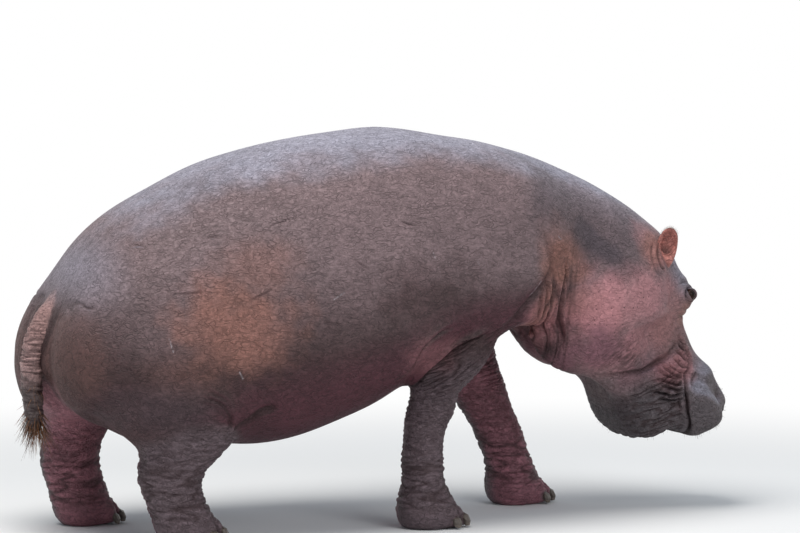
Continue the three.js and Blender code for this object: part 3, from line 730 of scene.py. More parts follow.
# Neck and jaw.
neck_zone = ramp(x, 0.40, 0.50) * ramp(x, 0.68, 0.57) * ramp(flank, 0.10, 0.2)
neck_zone *= ramp(z, 1.00, 0.82) * ramp(z, 0.40, 0.52)
neck_lines = (x + 0.15 * z, y, z), (0.035, 0.30, 0.22)
wrinkle(neck_zone, *neck_lines, 0.0045, 0.14, seed=3)
wrinkle(neck_zone, *neck_lines, 0.0025, 0.16, seed=4, finer=2.1)
jaw_zone = ramp(nose, 0.18, 0.23) * ramp(brow, -0.44, -0.34) * ramp(over_lip, -0.012, -0.03) * on_face
jaw_lines = (nose, y, brow), (0.017, 0.08, 0.075)
wrinkle(jaw_zone, *jaw_lines, 0.0060, 0.20, seed=12)
wrinkle(jaw_zone, *jaw_lines, 0.002, 0.22, seed=13, finer=1.9)
along, across = turned(x, z, 35)
low_cheek = bell(np.hypot((x - 0.84) / 1.5, z - 0.565), 0.075) * ramp(flank, 0.17, 0.23)
wrinkle(low_cheek, (along, y, across), (0.05, 0.1, 0.011), 0.0042, 0.2, seed=14)

# Forearms: close slanting wrinkles below the elbow, crossed by finer ones lower down.
outward = np.abs(relax(normals_of(hide)[:, 1], rings, 10))
for leg, slant in (("leg_front_right", 27), ("leg_front_left", 10)):
    zone = relax(is_part(leg).astype(float), rings, 8) * ramp(z, 0.20, 0.34) * ramp(outward, 0.35, 0.8)
    along, across = turned(x, z, slant)
    fan = (along, y, across), (0.12, 0.20, 0.0135)
    wrinkle(zone * ramp(z, 0.40, 0.52), *fan, 0.0062, 0.18, seed=15)
    wrinkle(zone, *fan, 0.0025, 0.2, seed=16, finer=1.7)
    along, across = turned(x, z, slant - 55)
    wrinkle(zone * ramp(z, 0.52, 0.40), (along, y, across), (0.05, 0.08, 0.011), 0.003, 0.2, seed=17)

# Legs: wavy rings, deeper at the wrist and ankle.
leg_share = relax(is_part("leg", "foot").astype(float), rings, 12)
low_leg = ramp(z, 0.36, 0.20) * ramp(z, 0.05, 0.10)
leg_rings = (x, y, z), (0.11, 0.11, 0.021)
wrinkle(leg_share * (0.25 + 0.75 * low_leg), *leg_rings, 0.006, 0.2, seed=6)
wrinkle(leg_share * ramp(z, 0.03, 0.08), *leg_rings, 0.003, 0.2, seed=7, finer=1.8)

# Between the toes the hide is drawn in, and over each nail it swells.
for leg in LEGS:
    hub = middle("foot_" + leg)[:2]
    nails = [middle(f"nail_{leg}_{k}")[:2] - hub for k in (1, 2, 3, 4)]
    bearing, reach = np.arctan2(y - hub[1], x - hub[0]), np.hypot(x - hub[0], y - hub[1])
    here = is_part("foot_" + leg, "leg_" + leg, "nail_" + leg) & (reach > 0.06)
    toes = sorted(np.arctan2(n[1], n[0]) for n in nails)
    for a, b in zip(toes, toes[1:]):
        gap = bell((bearing - (a + b) / 2) * reach, 0.008) * ramp(z, 0.105, 0.06) * here
        height -= TOE_GAP * gap
        # Painted shade between the toes.
        paint_shade(0.8 * gap)
    for toe in toes:
        height += NAIL_SWELL * bell((bearing - toe) * reach, 0.022) * bell(z - 0.062, 0.02) * here

# Tail: rings that grow closer to the tip, and long ridges down the rump beside it. The rump in the cleft
# along the tail is marked for painted shadow.
tail = relax(tail_share, rings, 4)
wrinkle(tail * ramp(z, 0.80, 0.64), (x, y, z), (0.14, 0.08, 0.0105), 0.0042, 0.24, seed=8)
wrinkle(tail, (x, y, z), (0.03, 0.03, 0.007), 0.0013, 0.25, seed=18)
# Painted shadow on the rump in the cleft beside the tail.
gap_edge = np.interp(z, (0.50, 0.60, 0.66, 0.74), (0.055, 0.052, 0.068, 0.112))
gap = (1 - tail_share) * ramp(x, -1.12, -1.16) * ramp(flank, gap_edge + 0.030, gap_edge + 0.012)
gap *= ramp(z, 0.50, 0.55) * ramp(z, 0.82, 0.76)
paint_shade(relax(gap, rings, 2))
beside_tail = ramp(x, -1.15, -1.21) * ramp(flank, 0.24, 0.16) * (1 - tail)
beside_tail *= ramp(z, 0.45, 0.60) * ramp(z, 1.05, 0.90)
wrinkle(beside_tail, (x, y, z), (0.10, 0.018, 0.16), 0.0028, 0.2, seed=19)

points = points + normals_of(hide) * height[:, None] * (1 - ear)[:, None]


def eye_axes(side):
    """The eye's own directions: along the slit between the lids, up across it, and out."""
    gaze = np.array([0.25, 0.9 * side, 0.35])
    gaze /= np.linalg.norm(gaze)
    slit = TO_NOSE - gaze * (TO_NOSE @ gaze)
    slit /= np.linalg.norm(slit)
    return slit, np.cross(gaze, slit), gaze


# Eyelids: a thick almond opening over the eyeball, with a heavy brow above.
for (_, side), eye in zip(SIDES, EYE_MIDDLES):
    slit, rise, gaze = eye_axes(side)
    rise = rise * np.sign(rise @ TO_BROW)
    away = points - eye
    u, v, w = away @ slit, away @ rise, away @ gaze
    at = np.flatnonzero((np.hypot(u, v) < 0.05) & (w > -0.01))
    u, v, w = u[at], v[at], w[at]
    off = np.hypot(u, v)
    opening = np.hypot(u / LID_LONG, (v - 0.001) / np.where(v > 0.001, LID_HIGH, LID_LOW))
    lid = EYE_RADIUS * (0.90 + 0.28 * ramp(opening, 0.92, 1.25)) - 0.0015 * ramp(opening, 1.30, 1.7)
    lid += BROW_SWELL * bell(v - 0.019, 0.008) * ramp(off, 0.045, 0.02)
    ball = np.sqrt(np.maximum(lid ** 2 - off ** 2, 0.0))
    share = ramp(off, 0.034, 0.022)
    wave = 0.0015 * np.sin(5 * np.arctan2(v, u))
    creased = sum(deep * bell(off - ring - wave, 0.0022) for ring, deep in LID_CREASES)
    points[at] += ((1 - share) * w + share * ball - creased - w)[:, None] * gaze
    # Painted shade: in the creases round the lids, and full in the lid opening, where the hide meets the
    # eyeball.
    painted_shade[at] = np.maximum(painted_shade[at], np.clip(creased / 0.0026, 0, 1) * 0.45)
    painted_shade[at] = np.maximum(painted_shade[at], ramp(opening, 1.12, 0.95))
# Painted shade in the ear's hollow, deepest down towards the canal.
paint_shade(ear * (0.85 * ramp(hollow, 0.50, 0.95) + 0.10 * ramp(hollow, 0.12, 0.3)))
points[:, 2] = np.maximum(points[:, 2], LOW[2])
place(hide, points)

# ---------------------------------------------------------------- hide, its colours and finish
# Bare skin about as thick as a finger: dry, matt and finely cracked, mauve brown on the flanks,
# pale slate on top, partly dust and partly a painted sheen of the sky, nearly black below, and pink
# where it is thin: on the cheeks, in the armpits, round the ears and at the corners of the mouth.
# Creases, slits and hollows are darkened as painted shade, and the tail is made paler as painted light.

MAUVE, SHADE_COLOUR = (0.178, 0.122, 0.127, 1), (0.030, 0.014, 0.015, 1)
# The paints go over the bare mauve in this order, each where the mark of its name is.
PAINTS = {
    "dark": (0.054, 0.027, 0.028, 1), "dust_and_sky_sheen": (0.287, 0.276, 0.336, 1), "maroon": (0.074, 0.022, 0.031, 1),
    # The tail paint is paler than the tail's own pinkish brown. Part of it is painted light, as the tail
    # hangs in the rump's shade under these lamps.
    "leg": (0.135, 0.096, 0.108, 1), "tail": (0.490, 0.308, 0.293, 1), "tail_end": (0.110, 0.080, 0.078, 1),
    "inside": (0.295, 0.122, 0.148, 1), "rose": (0.450, 0.197, 0.208, 1), "ember": (0.275, 0.126, 0.100, 1),
    "dusk": (0.068, 0.052, 0.064, 1), "plum": (0.200, 0.088, 0.108, 1), "muzzle": (0.092, 0.077, 0.084, 1),
    "ear": (0.480, 0.190, 0.160, 1), "scar": (0.40, 0.35, 0.37, 1)}
THIN_PAINTS, THIN = ("muzzle", "rose"), 0.9
PATCH_EDGE = 1.35, 0.25  # how far out, in reaches, a ragged patch begins and is full
CHART_GAP, SCAR_WIDTH = 0.02, 0.0020

normals = normals_of(hide)
up = relax(normals[:, 2], rings, 8)
inward = relax(-np.sign(y) * normals[:, 1], rings, 8)
ragged = 0.30 * noise(points / 0.11, 21) + 0.22 * noise(points / 0.045, 22)
x, y, z = points.T


def most(*shares):
    return np.clip(np.max(shares, 0), 0, 1)


def patches(*rows, where="flank"):
    """Ragged patches on both sides: the middle, reaches and strength of each, in thousandths."""
    (a, b), shares = (nose, brow) if where == "face" else (x, z), []
    for middle_a, middle_b, reach_a, reach_b, strength in rows:
        away = np.hypot((1000 * a - middle_a) / reach_a, (1000 * b - middle_b) / reach_b)
        shares.append(strength / 1000 * ramp(away + ragged, *PATCH_EDGE))
    if where == "face":
        return np.max(shares, 0) * ramp(np.abs(y), 0.05, 0.10) * ramp(x, 0.6, 0.7)
    return np.max(shares, 0) * ramp(np.abs(y), 0.02, 0.10)


def on_the_face(*row):
    return patches(row, where="face")


def band(path, reach, strength):
    """A ragged band on both flanks, along a path seen from the side."""
    off = from_line(plan_of("both", points) * 1000, curved(path))[0]
    return strength * ramp(off / reach + ragged, *PATCH_EDGE) * ramp(np.abs(y), 0.04, 0.10)


leg_zone = leg_share * np.where(x > -0.3, ramp(z, 0.66, 0.50), ramp(z, 0.46, 0.34))
rear_inside = ramp(x, -0.92, -1.05) * ramp(z, 0.57, 0.49) * ramp(inward, -0.1, 0.4) * (1 - tail)
neck_band = most(band([(500, 1140), (620, 1060), (740, 980), (790, 955)], 115, 0.5),
                 band([(630, 1020), (710, 970), (765, 935)], 70, 0.85))
tail_top = tail * ramp(z + 0.12 * ragged, 0.57, 0.74) * ramp(z + 0.05 * ragged, 0.88, 0.76)
# Pale slate on upward faces, the forehead, the top of the rump and the top of the muzzle: partly dust, and
# partly a painted sheen of the sky on the top of the hide.
dust_and_sky_sheen = ramp(up + 0.15 * ragged, 0.68, 0.98) + on_the_face(-100, 0, 110, 60, 550)
dust_and_sky_sheen += 0.9 * ramp(x, -0.98, -1.20) * ramp(z, 0.74, 0.98) + 0.45 * ramp(x, 0.35, 0.6) * ramp(up, 0.3, 0.8)
dust_and_sky_sheen += 0.8 * ramp(nose, 0.22, 0.30) * on_face * ramp(up, 0.15, 0.55)
dark = most(ramp(z + 0.05 * ragged, 0.98, 0.58), leg_zone,
            patches((10, 750, 290, 200, 850), (-880, 500, 240, 100, 850)))
dark *= ramp(x, 0.72, 0.56) * (1 - ear) * (1 - tail) * (1 - patches((-930, 700, 160, 100, 400)))
dark *= 1 - 0.35 * leg_share * ramp(z, 0.42, 0.25)
belly = ramp(up, -0.10, -0.60) * ramp(x, 0.60, 0.45) * (1 - 0.8 * ramp(x, -0.72, -0.86))
muzzle = most(ramp(nose, 0.20, 0.30), on_the_face(280, -300, 100, 160, 1000)) * on_face
strayed = plan_of("right", points) + 0.3 * wander
scar = np.max([bell(from_line(strayed, curved(path) / 1000)[0], SCAR_WIDTH) for path in SCARS], 0)
EMBER_PATCHES = [
    (-710, 730, 210, 190, 920), (-620, 920, 150, 120, 450), (-840, 600, 170, 120, 200),
    (530, 935, 110, 130, 980), (610, 870, 70, 60, 700), (620, 780, 100, 70, 350), (490, 780, 60, 120, 750),
    (965, 940, 80, 80, 750), (1050, 660, 100, 120, 300), (-1210, 620, 90, 160, 200)]
ROSE_PATCHES = [
    (700, 730, 190, 170, 1000), (900, 770, 170, 130, 750), (760, 580, 160, 100, 600), (965, 920, 70, 70, 700),
    (980, 680, 160, 140, 600), (940, 980, 80, 60, 500), (30, 610, 120, 80, 320), (870, 620, 120, 90, 800),
    (500, 720, 90, 130, 900)]
ROSE_LIPS = [(210, -175, 75, 100, 850), (330, -200, 30, 30, 700)]
PLUM_PATCHES = [(700, 600, 150, 90, 1000), (600, 550, 80, 60, 1000)]
# How much of each mark every place on the hide has, from 0 to 1.
MARKS = {
    "dark": dark,
    "dust_and_sky_sheen": np.clip(dust_and_sky_sheen, 0, 1) * (1 - ear),
    "maroon": most(belly, patches((-300, 420, 350, 110, 750), (-690, 410, 170, 80, 950))) * (1 - leg_zone),
    "leg": leg_zone,
    # The tail's pale paint: its own pinkish brown, and painted light.
    "tail": tail * (1 - ear) * ramp(z + 0.05 * ragged, 0.86, 0.76),
    "tail_end": tail * ramp(z, 0.60, 0.48),
    "inside": most(ramp(inward, -0.1, 0.6) * leg_zone, rear_inside),
    "rose": most(patches(*ROSE_PATCHES), patches(*ROSE_LIPS, where="face")),
    "ember": most(patches(*EMBER_PATCHES), on_the_face(60, -30, 60, 50, 800), 0.30 * tail_top),
    "dusk": most(neck_band, on_the_face(330, -390, 160, 110, 600), patches((-920, 460, 240, 100, 350))),
    "plum": most(patches(*PLUM_PATCHES), on_the_face(160, -330, 60, 120, 500)),
    # The muzzle grey is thinned on its top, where the painted sky sheen shows.
    "muzzle": muzzle * (1 - on_the_face(200, -170, 60, 80, 800)) * (1 - 0.6 * ramp(up, 0.15, 0.55)),
    "ear": relax(ear, rings, 5),
    "scar": scar * 0.8 * ramp(noise(points / 0.010, 31), -0.5, 0.3) * ramp(y, -0.10, -0.15),
    # Painted shade in creases, slits and hollows, and beside the tail.
    "painted_shade": painted_shade,
    "pored": most(patches((800, 720, 300, 240, 1000)), ramp(nose, 0.10, 0.2) * on_face),
}


def mark(mesh, values):
    """Stores shares from 0 to 1 on the mesh, for its material to read by name."""
    for name, value in values.items():
        layer = mesh.attributes.get(name) or mesh.attributes.new(name, "FLOAT", "POINT")
        layer.data.foreach_set("value", value.astype(np.float32))


def share_of(tree, name):
    return wire(tree, "Attribute", output="Fac", attribute_name=name)


def mixed(tree, share, under, laid, blend="MIX"):
    """One colour laid over another by a share."""
    mix = node(tree, "Mix", data_type="RGBA", blend_type=blend)
    for socket, value in ((0, share), (6, under), (7, laid)):
        feed(tree, mix.inputs[socket], value)
    return Wire(tree, mix.outputs[2])


def shaded(colour, shade, share=1.0):
    """A colour made lighter or darker by a shade."""
    grey = wire(colour.tree, "CombineColor", {0: shade, 1: shade, 2: shade})
    return mixed(colour.tree, share, colour, grey, "MULTIPLY")


def finish(tree, sockets):
    """The material's own surface."""
    node(tree, "OutputMaterial", {"Surface": wire(tree, "BsdfPrincipled", sockets)})


def new_group(name, outputs, **sizes):
    """A shader group that works on a place: its tree, its inputs by name, and its output node."""
    tree = bpy.data.node_groups.new(name, "ShaderNodeTree")
    tree.interface.new_socket("Place", in_out="INPUT", socket_type="NodeSocketVector")
    for size, value in sizes.items():
        tree.interface.new_socket(size, in_out="INPUT", socket_type="NodeSocketFloat").default_value = value
    for output in outputs:
        tree.interface.new_socket(output, in_out="OUTPUT", socket_type="NodeSocketFloat")
    given = tree.nodes.new("NodeGroupInput")
    return tree, {s.name: Wire(tree, s) for s in given.outputs}, tree.nodes.new("NodeGroupOutput")


def use_group(tree, group, place, **sizes):
    """The outputs of a shader group at this place."""
    placed = node(tree, "Group", {"Place": place, **sizes}, node_tree=group)
    return [Wire(tree, socket) for socket in placed.outputs]


def over_one(tree, value):
    return wire(tree, "Math", {0: 1.0, 1: value}, operation="DIVIDE")


# Cracks: short strokes that run two ways over the hide, and a broken net of finer ones.
cracks, given, result = new_group("cracks", ("Lines", "Plates"), Size=0.02, Width=0.1)
finer = over_one(cracks, given["Size"])
scaled = wire(cracks, "VectorMath", {0: given["Place"], "Scale": finer}, operation="SCALE")
strokes = []
for shift, leaning, long in ((3.1, 0.5, 0.55), (8.7, -0.7, 0.45)):
    leant = wire(cracks, "Mapping", {"Vector": scaled, "Location": (shift, shift, -shift),
                                     "Rotation": (leaning, leaning, 0.3), "Scale": (long, 0.8, 1.0)})
    wave = wire(cracks, "TexNoise", {"Vector": leant, "Scale": 0.8, "Detail": 1.0, "Roughness": 0.5}, "Fac")
    gate = wire(cracks, "TexNoise", {"Vector": leant, "Scale": 0.62, "Detail": 1.0}, "Color")
    stroke = wave.maths("SUBTRACT", 0.5).maths("ABSOLUTE").step(given["Width"] * 0.5, 0.0)
    strokes.append(stroke * gate.step(0.42, 0.56))
bend = wire(cracks, "TexNoise", {"Vector": scaled, "Scale": 0.9, "Detail": 1.0}, "Color")
pushed = wire(cracks, "VectorMath", {0: bend, "Scale": 0.45}, operation="SCALE")
warped = wire(cracks, "VectorMath", {0: scaled, 1: pushed}, operation="ADD")
net = wire(cracks, "TexVoronoi", {"Vector": warped, "Scale": 1.6}, "Distance", feature="DISTANCE_TO_EDGE")
patchy = wire(cracks, "TexNoise", {"Vector": warped, "Scale": 0.7, "Detail": 2.0}, "Fac")
net_lines = net.step(given["Width"] * 1.3, 0.0) * patchy.step(0.44, 0.62, 0.0, 0.7)
feed(cracks, result.inputs["Lines"], net_lines.maths("MAXIMUM", strokes[0].maths("MAXIMUM", strokes[1])))
plate = wire(cracks, "TexNoise", {"Vector": warped, "Scale": 1.3, "Detail": 2.0, "Roughness": 0.7}, "Fac")
feed(cracks, result.inputs["Plates"], plate)

# Pores: scattered dark pits, each the root of a bristle.
pores, given, result = new_group("pores", ("Pits",), Spacing=0.03, Radius=0.1)
spots = wire(pores, "TexVoronoi", {"Vector": given["Place"], "Randomness": 0.85,
                                   "Scale": over_one(pores, given["Spacing"])}, "Distance")
feed(pores, result.inputs["Pits"], spots.step(given["Radius"], given["Radius"] * 0.4))

# Mottle: cloudy light and dark blotches, from large to small.
mottle, given, result = new_group("mottle", ("Shade",), Size=0.1, Amount=0.2)
cloud = wire(mottle, "TexNoise", {"Vector": given["Place"], "Detail": 6.0, "Roughness": 0.62,
                                  "Scale": over_one(mottle, given["Size"])}, "Fac")
shade = cloud.maths("SUBTRACT", 0.5).maths("MULTIPLY_ADD", given["Amount"] * 4.0, 1.0)
feed(mottle, result.inputs["Shade"], shade)

leather, tree = new_material("hide")
where = wire(tree, "TexCoord", output="Object")
colour = MAUVE
for name, paint in PAINTS.items():
    share = share_of(tree, name)
    colour = mixed(tree, share * THIN if name in THIN_PAINTS else share, colour, paint)
coarse, plates = use_group(tree, cracks, where, Size=0.015, Width=0.11)
fine, _ = use_group(tree, cracks, where, Size=0.0075, Width=0.14)
clouds, = use_group(tree, mottle, where, Size=0.22, Amount=0.22)
specks, = use_group(tree, mottle, where, Size=0.012, Amount=0.12)
pits, = use_group(tree, pores, where, Spacing=0.017, Radius=0.18)
small_pits, = use_group(tree, pores, where, Spacing=0.015, Radius=0.23)
pitted = (pits * share_of(tree, "pored")).maths("MAXIMUM", small_pits * share_of(tree, "muzzle"))
smooth_skin = share_of(tree, "rose").maths("MULTIPLY_ADD", -0.30, 1.0)
lines = coarse.maths("MAXIMUM", fine * 0.6) * smooth_skin
shade = clouds * specks * plates.step(0.3, 0.7, 0.90, 1.12) * lines.maths("MULTIPLY_ADD", -0.50, 1.08)
colour = shaded(colour, shade)
# Painted shade: creases, slits, hollows and the cleft by the tail are darkened.
colour = mixed(tree, share_of(tree, "painted_shade") * 0.80, colour, SHADE_COLOUR)
# The pores get the same dark: their bristle roots, and painted shade in the pits.
colour = mixed(tree, pitted * 0.75, colour, SHADE_COLOUR)
relief = lines.maths("MULTIPLY_ADD", -0.8, plates * 0.5)
relief = pitted.maths("MULTIPLY_ADD", -0.7, specks.maths("MULTIPLY_ADD", 0.10, relief))
bump = wire(tree, "Bump", {"Height": relief, "Strength": 1.0, "Distance": 0.0032})
rough = lines.maths("MULTIPLY_ADD", 0.15, plates.maths("MULTIPLY_ADD", 0.16, 0.46))
finish(tree, {"Base Color": colour, "Roughness": rough, "Normal": bump, "Specular IOR Level": 0.3})


def unwrap(mesh, region, points, facing):
    """Lays the hide flat for its texture maps: six sides of each region, at one scale, in rows."""
    count, first = (values_of(mesh.polygons, field, kind=np.int32) for field in ("loop_total", "loop_start"))
    vertex = values_of(mesh.loops, "vertex_index", kind=np.int32)
    face_of = np.repeat(np.arange(len(count)), count)
    looks = np.stack([np.bincount(face_of, facing[vertex, k]) for k in range(3)], 1)
    axis = np.abs(looks).argmax(1)
    ahead = looks[np.arange(len(looks)), axis] > 0
    chart = (region[vertex[first]] * 3 + axis) * 2 + ahead
    flat = np.empty((len(vertex), 2))
    for k, (a, b) in enumerate(((1, 2), (0, 2), (0, 1))):
        mine = axis[face_of] == k
        flat[mine] = points[vertex[mine]][:, [a, b]]
    boxes = []
    for one in np.unique(chart):
        mine = chart[face_of] == one
        flat[mine] -= flat[mine].min(0)
        wide, tall = flat[mine].max(0)
        if tall > wide:
            flat[mine] = flat[mine][:, ::-1]
            wide, tall = tall, wide
        boxes.append((tall, wide, one))

    def packed(width):
        """The boxes in rows, the tallest first: the side of the whole, and where each goes."""
        right, base, row, spots = 0.0, 0.0, 0.0, {}
        for tall, wide, one in sorted(boxes, reverse=True):
            if right + wide > width:
                right, base, row = 0.0, base + row, 0.0
            spots[one] = (right, base)
            right, row = right + wide + CHART_GAP, max(row, tall + CHART_GAP)
        return max(width, base + row), spots

    widest = max(wide for _, wide, _ in boxes)
    tries = [packed(widest * stretch) for stretch in np.arange(1.0, 4.0, 0.05)]
    side, spots = min(tries, key=lambda found: found[0])
    for one, spot in spots.items():
        flat[chart[face_of] == one] += spot
    layer = mesh.uv_layers.new(name="OFBake")
    layer.data.foreach_set("uv", (0.001 + 0.998 * flat / side).astype(np.float32).ravel())


def new_piece(name, mesh, material):
    """A smooth piece of one material."""
    mesh.polygons.foreach_set("use_smooth", np.ones(len(mesh.polygons), bool))
    mesh.materials.append(material)
    thing = bpy.data.objects.new(name, mesh)
    bpy.context.scene.collection.objects.link(thing)
    return thing


mark(hide, MARKS)
region = np.zeros(len(points), int)
REGIONS = [("head", "lower_jaw")] + [("leg_" + leg, "foot_" + leg) for leg in LEGS] + [("tail",)]
for k, names in enumerate(REGIONS):
    region[is_part(*names)] = k + 1
region[ear > 0.5] = np.where(y[ear > 0.5] > 0, 7, 8)
unwrap(hide, region, points, relax(normals, rings, 24))

skin = new_piece("skin", hide, leather)
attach(skin, "root")
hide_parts(*[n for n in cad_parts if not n.startswith(("eye", "nail"))])

# ---------------------------------------------------------------- eyes
# Dark, wet eyeballs set under the lids: a brown iris with a slit pupil lying along the lids, and
# a brown white. They are separate, and the hide's lids lie over their edges.

BALL_RINGS, BALL_TURNS, IRIS_RADIUS, CORNEA_RISE = 40, 64, 0.0115, 0.0014
PUPIL_LONG, PUPIL_HIGH = 0.0058, 0.0030
EYE_WHITE, IRIS, PUPIL = (0.022, 0.010, 0.007, 1), (0.014, 0.006, 0.004, 1), (0.002, 0.002, 0.002, 1)
VEIN_RED = (0.10, 0.02, 0.015, 1)

wet, tree = new_material("wet_eye")
where = wire(tree, "TexCoord", output="Object")
streaks, = use_group(tree, mottle, where, Size=0.004, Amount=0.35)
veins, _ = use_group(tree, cracks, where, Size=0.006, Width=0.06)
iris = share_of(tree, "iris")
colour = mixed(tree, iris, mixed(tree, veins * 0.35, EYE_WHITE, VEIN_RED), IRIS)
colour = mixed(tree, share_of(tree, "pupil"), shaded(colour, streaks), PUPIL)
finish(tree, {"Base Color": colour, "Roughness": iris.step(0.0, 1.0, 0.14, 0.04), "IOR": 1.37,
              "Specular IOR Level": 0.16})

for (name, side), eye in zip(SIDES, EYE_MIDDLES):
    slit, rise, gaze = eye_axes(side)
    corners, faces = [eye + gaze * (EYE_RADIUS + CORNEA_RISE)], []
    for ring in range(1, BALL_RINGS):
        tilt = np.pi * ring / BALL_RINGS
        bulge = CORNEA_RISE * bell(tilt * EYE_RADIUS, IRIS_RADIUS)
        for k in range(BALL_TURNS):
            turn = 2 * np.pi * k / BALL_TURNS
            out = gaze * cos(tilt) + (slit * cos(turn) + rise * sin(turn)) * sin(tilt)
            corners.append(eye + out * (EYE_RADIUS + bulge))
    corners.append(eye - gaze * EYE_RADIUS)
    for k in range(BALL_TURNS):
        after = (k + 1) % BALL_TURNS
        faces.append((0, 1 + k, 1 + after))
        for a in range(1, 1 + (BALL_RINGS - 2) * BALL_TURNS, BALL_TURNS):
            faces.append((a + k, a + BALL_TURNS + k, a + BALL_TURNS + after, a + after))
        faces.append((a + BALL_TURNS + after, a + BALL_TURNS + k, len(corners) - 1))
    ball = bpy.data.meshes.new("eyeball_" + name)
    ball.from_pydata(corners, [], faces)
    spots = np.array(corners) - eye
    u, v, w = spots @ slit, spots @ rise, spots @ gaze
    front = ramp(w, 0.0, 0.005)
    mark(ball, {"iris": ramp(np.hypot(u, v), IRIS_RADIUS * 1.06, IRIS_RADIUS * 0.94) * front,
                "pupil": ramp(np.hypot(u / PUPIL_LONG, v / PUPIL_HIGH), 1.1, 0.9) * front})
    thing = new_piece("eyeball_" + name, ball, wet)
    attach(thing, "root")
    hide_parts("eye_" + name)

# ---------------------------------------------------------------- hairs
# A hippopotamus has few hairs: flat bristles in a fringe round the end of the tail, short stiff
# whiskers out of the pits on the muzzle and lips, and a fine edge of hair on the ears. Each is a
# tapered solid rooted in the hide.

BRISTLE_STEPS, ROOTED, CURL = 5, 0.002, 0.10
THIRDS = (0.0, 2.0944, 4.1888)
TAIL_HAIRS, WHISKERS, EAR_HAIRS = 260, 420, 360
# The dark and the pale colour of each kind.
TAIL_HAIR = (0.014, 0.009, 0.007, 1), (0.26, 0.10, 0.035, 1)
WHISKER = (0.030, 0.022, 0.018, 1), (0.16, 0.12, 0.09, 1)
EAR_HAIR = (0.10, 0.045, 0.03, 1), (0.35, 0.22, 0.17, 1)
DOWN = np.array([0, 0, -1.0])


def pick(share, count):
    """Vertices of the hide drawn at random, likelier where the share is high."""
    return dice.choice(len(share), count, replace=False, p=share / share.sum())


def unit(a, b):
    """Two coordinates laid flat, from 0 to 1."""
    values = np.stack([a, b], 1)
    low, high = values.min(0), values.max(0)
    return 0.02 + 0.96 * (values - low) / (high - low + 1e-9)


def bristles(name, at, ways, lengths, radius, droop, plan, dark, pale):
    """One piece of tapered hairs; plan lays their roots flat, from 0 to 1, for the texture maps."""
    corners, faces, flat, along, tints = [], [], [], [], []
    for root, way, length, laid in zip(points[at], ways, lengths, plan):
        way = way / np.linalg.norm(way)
        aside = np.cross(way, [0.31, 0.53, 0.79])
        aside /= np.linalg.norm(aside)
        under = np.cross(way, aside)
        bend = dice.normal(size=3) * CURL + np.array([0, 0, -droop])
        tint = dice.random() ** 2
        first = len(corners)
        for t in np.arange(BRISTLE_STEPS + 1) / BRISTLE_STEPS:
            spot = root + length * (t * way + t * t * bend) - way * ROOTED * (1 - t)
            wide = radius * (1 - 0.85 * t ** 1.5)
            for turn in THIRDS:
                corners.append(spot + wide * (aside * cos(turn) + under * sin(turn)))
                flat.append(laid + 0.0015 * np.array([cos(turn), t * 2 - 1]))
                along.append(t)
                tints.append(tint)
        for a in range(first, len(corners) - 3, 3):
            faces += [(a + i, a + (i + 1) % 3, a + 3 + (i + 1) % 3, a + 3 + i) for i in range(3)]
        faces += [(first + 2, first + 1, first), (len(corners) - 3, len(corners) - 2, len(corners) - 1)]
    mesh = bpy.data.meshes.new(name)
    mesh.from_pydata(corners, [], faces)
    order = values_of(mesh.loops, "vertex_index", kind=np.int32)
    layer = mesh.uv_layers.new(name="OFBake")
    layer.data.foreach_set("uv", np.clip(np.array(flat)[order], 0.001, 0.999).astype(np.float32).ravel())
    mark(mesh, {"along": np.array(along), "tint": np.array(tints)})
    hair, tree = new_material(name)
    shade, = use_group(tree, mottle, wire(tree, "TexCoord", output="Object"), Size=0.012, Amount=0.5)
    colour = mixed(tree, share_of(tree, "tint"), dark, pale)
    colour = shaded(mixed(tree, share_of(tree, "along") * 0.25, colour, pale), shade, 0.5)
    finish(tree, {"Base Color": colour, "Roughness": shade.step(0.6, 1.4, 0.35, 0.55)})
    return new_piece(name, mesh, hair)


normals = normals_of(hide)
fringe_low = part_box("tail")[0][2]
fringe = 0.35 * ramp(z, 0.58, 0.42) * ramp(np.abs(normals[:, 1]), 0.6, 0.95)
fringe = tail * (tail > 0.9) * (fringe + ramp(z, fringe_low + 0.070, fringe_low + 0.012))
at = pick(fringe, TAIL_HAIRS)
tip = ramp(z[at], 0.46, 0.38)
ways = normals[at] * (0.75 - 0.3 * tip)[:, None] + DOWN * (0.50 + 0.4 * tip)[:, None]
ways += dice.normal(size=(len(at), 3)) * 0.16
lengths = 0.024 + 0.060 * tip * dice.random(len(at)) + 0.018 * dice.random(len(at))
tail_plan = unit(np.arctan2(y[at], x[at] - x[at].mean()), z[at])
piece = bristles("tail_bristles", at, ways, lengths, 0.0011, 0.15, tail_plan, *TAIL_HAIR)
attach(piece, "root")

at = pick(ramp(nose, 0.26, 0.34) * on_face * ramp(painted_shade, 0.3, 0.0), WHISKERS)
ways = normals[at] + 0.35 * TO_NOSE + dice.normal(size=(len(at), 3)) * 0.12
lengths = 0.006 + 0.010 * dice.random(len(at))
piece = bristles("whiskers", at, ways, lengths, 0.00045, 0.1, unit(y[at], nose[at]), *WHISKER)
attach(piece, "root")

which = (y > 0).astype(int)
ear_roots, ups = (np.array(axis)[which] for axis in zip(*EAR_AXES))
above = ((points - ear_roots) * ups).sum(1)
edge = (ear > 0.5) * ramp(above, 0.035, 0.075) * ramp((normals * ups).sum(1), 0.25, 0.7)
at = pick(edge, EAR_HAIRS)
ways = ups[at] * 0.8 + normals[at] * 0.5 + dice.normal(size=(len(at), 3)) * 0.15
lengths = 0.006 + 0.007 * dice.random(len(at))
piece = bristles("ear_hairs", at, ways, lengths, 0.0003, 0.05, unit(y[at], above[at]), *EAR_HAIR)
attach(piece, "root")

# ---------------------------------------------------------------- toenails
# Blunt shields of dull horn, one on each of the four toes of a foot, grown in ridges that run
# down to a worn edge, darker at the root where the hide laps over them.

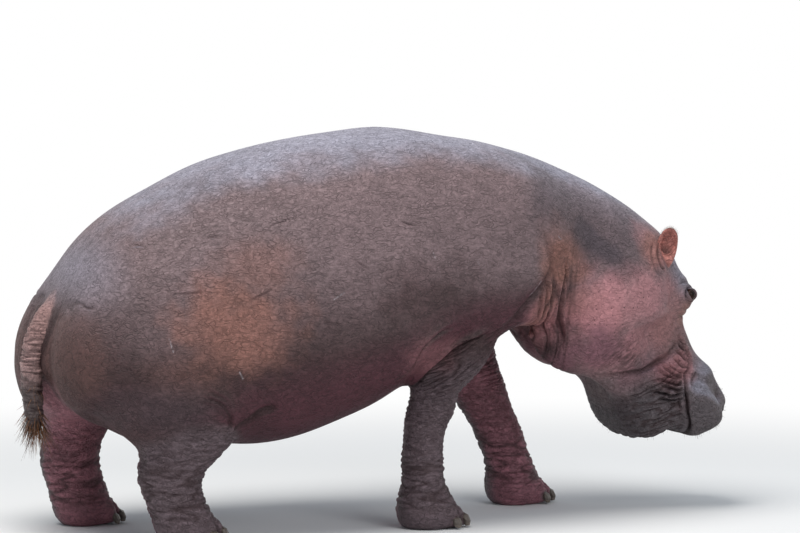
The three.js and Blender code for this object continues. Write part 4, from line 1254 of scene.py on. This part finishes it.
NAIL_VOXEL, NAIL_GROWTH, NAIL_FORWARD, NAIL_OFF_GROUND = 0.0016, 1.07, 0.0025, 0.002
HORN, HORN_WORN, HORN_ROOT = (0.085, 0.066, 0.054, 1), (0.19, 0.155, 0.125, 1), (0.030, 0.020, 0.018, 1)

horn, tree = new_material("nail_horn")
where = wire(tree, "TexCoord", output="Object")
blotches, = use_group(tree, mottle, where, Size=0.018, Amount=0.35)
chips, _ = use_group(tree, cracks, where, Size=0.007, Width=0.10)
worn = share_of(tree, "worn")
colour = mixed(tree, share_of(tree, "root_side"), mixed(tree, worn, HORN, HORN_WORN), HORN_ROOT)
colour = shaded(colour, blotches * chips.maths("MULTIPLY_ADD", -0.3, 1.0))
bump = wire(tree, "Bump", {"Height": chips.maths("MULTIPLY_ADD", -0.6, blotches), "Distance": 0.0008})
finish(tree, {"Base Color": colour, "Roughness": worn.step(0.0, 1.0, 0.42, 0.62), "Normal": bump})

for leg in LEGS:
    hub = middle("foot_" + leg)
    joined = bmesh.new()
    for k in (1, 2, 3, 4):
        nail = cast_of([f"nail_{leg}_{k}"], NAIL_VOXEL)
        spots = smoothed(points_of(nail), rings_of(nail), 6, 0.5)
        centre = middle(f"nail_{leg}_{k}")
        out = (centre - hub) * np.array([1, 1, 0])
        out /= np.linalg.norm(out)
        away = spots - centre
        sideways, forward, high = away @ np.array([-out[1], out[0], 0]), away @ out, away[:, 2]
        level = sideways * 0
        ridges = 0.0005 * noise(np.stack([sideways / 0.0028, level, high / 0.05], 1), k)
        bands = 0.0004 * noise(np.stack([high / 0.006, sideways / 0.06, level], 1), 4 + k)
        grown = NAIL_FORWARD + (ridges + bands) * ramp(forward, -0.004, 0.004)
        spots = centre + away * NAIL_GROWTH + out * grown[:, None]
        spots[:, 2] = np.maximum(spots[:, 2], LOW[2] + NAIL_OFF_GROUND)
        place(nail, spots)
        tall = np.ptp(high)
        mark(nail, {"worn": ramp(high + 0.003 * noise(spots / 0.008, 31), -0.10 * tall, -0.46 * tall),
                    "root_side": ramp(high + 0.002 * noise(spots / 0.01, 32), 0.26 * tall, 0.46 * tall)})
        joined.from_mesh(nail)
    mesh = bpy.data.meshes.new("nails_" + leg)
    joined.to_mesh(mesh)
    joined.free()
    thing = new_piece("nails_" + leg, mesh, horn)
    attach(thing, "root")
    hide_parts(*[f"nail_{leg}_{k}" for k in (1, 2, 3, 4)])
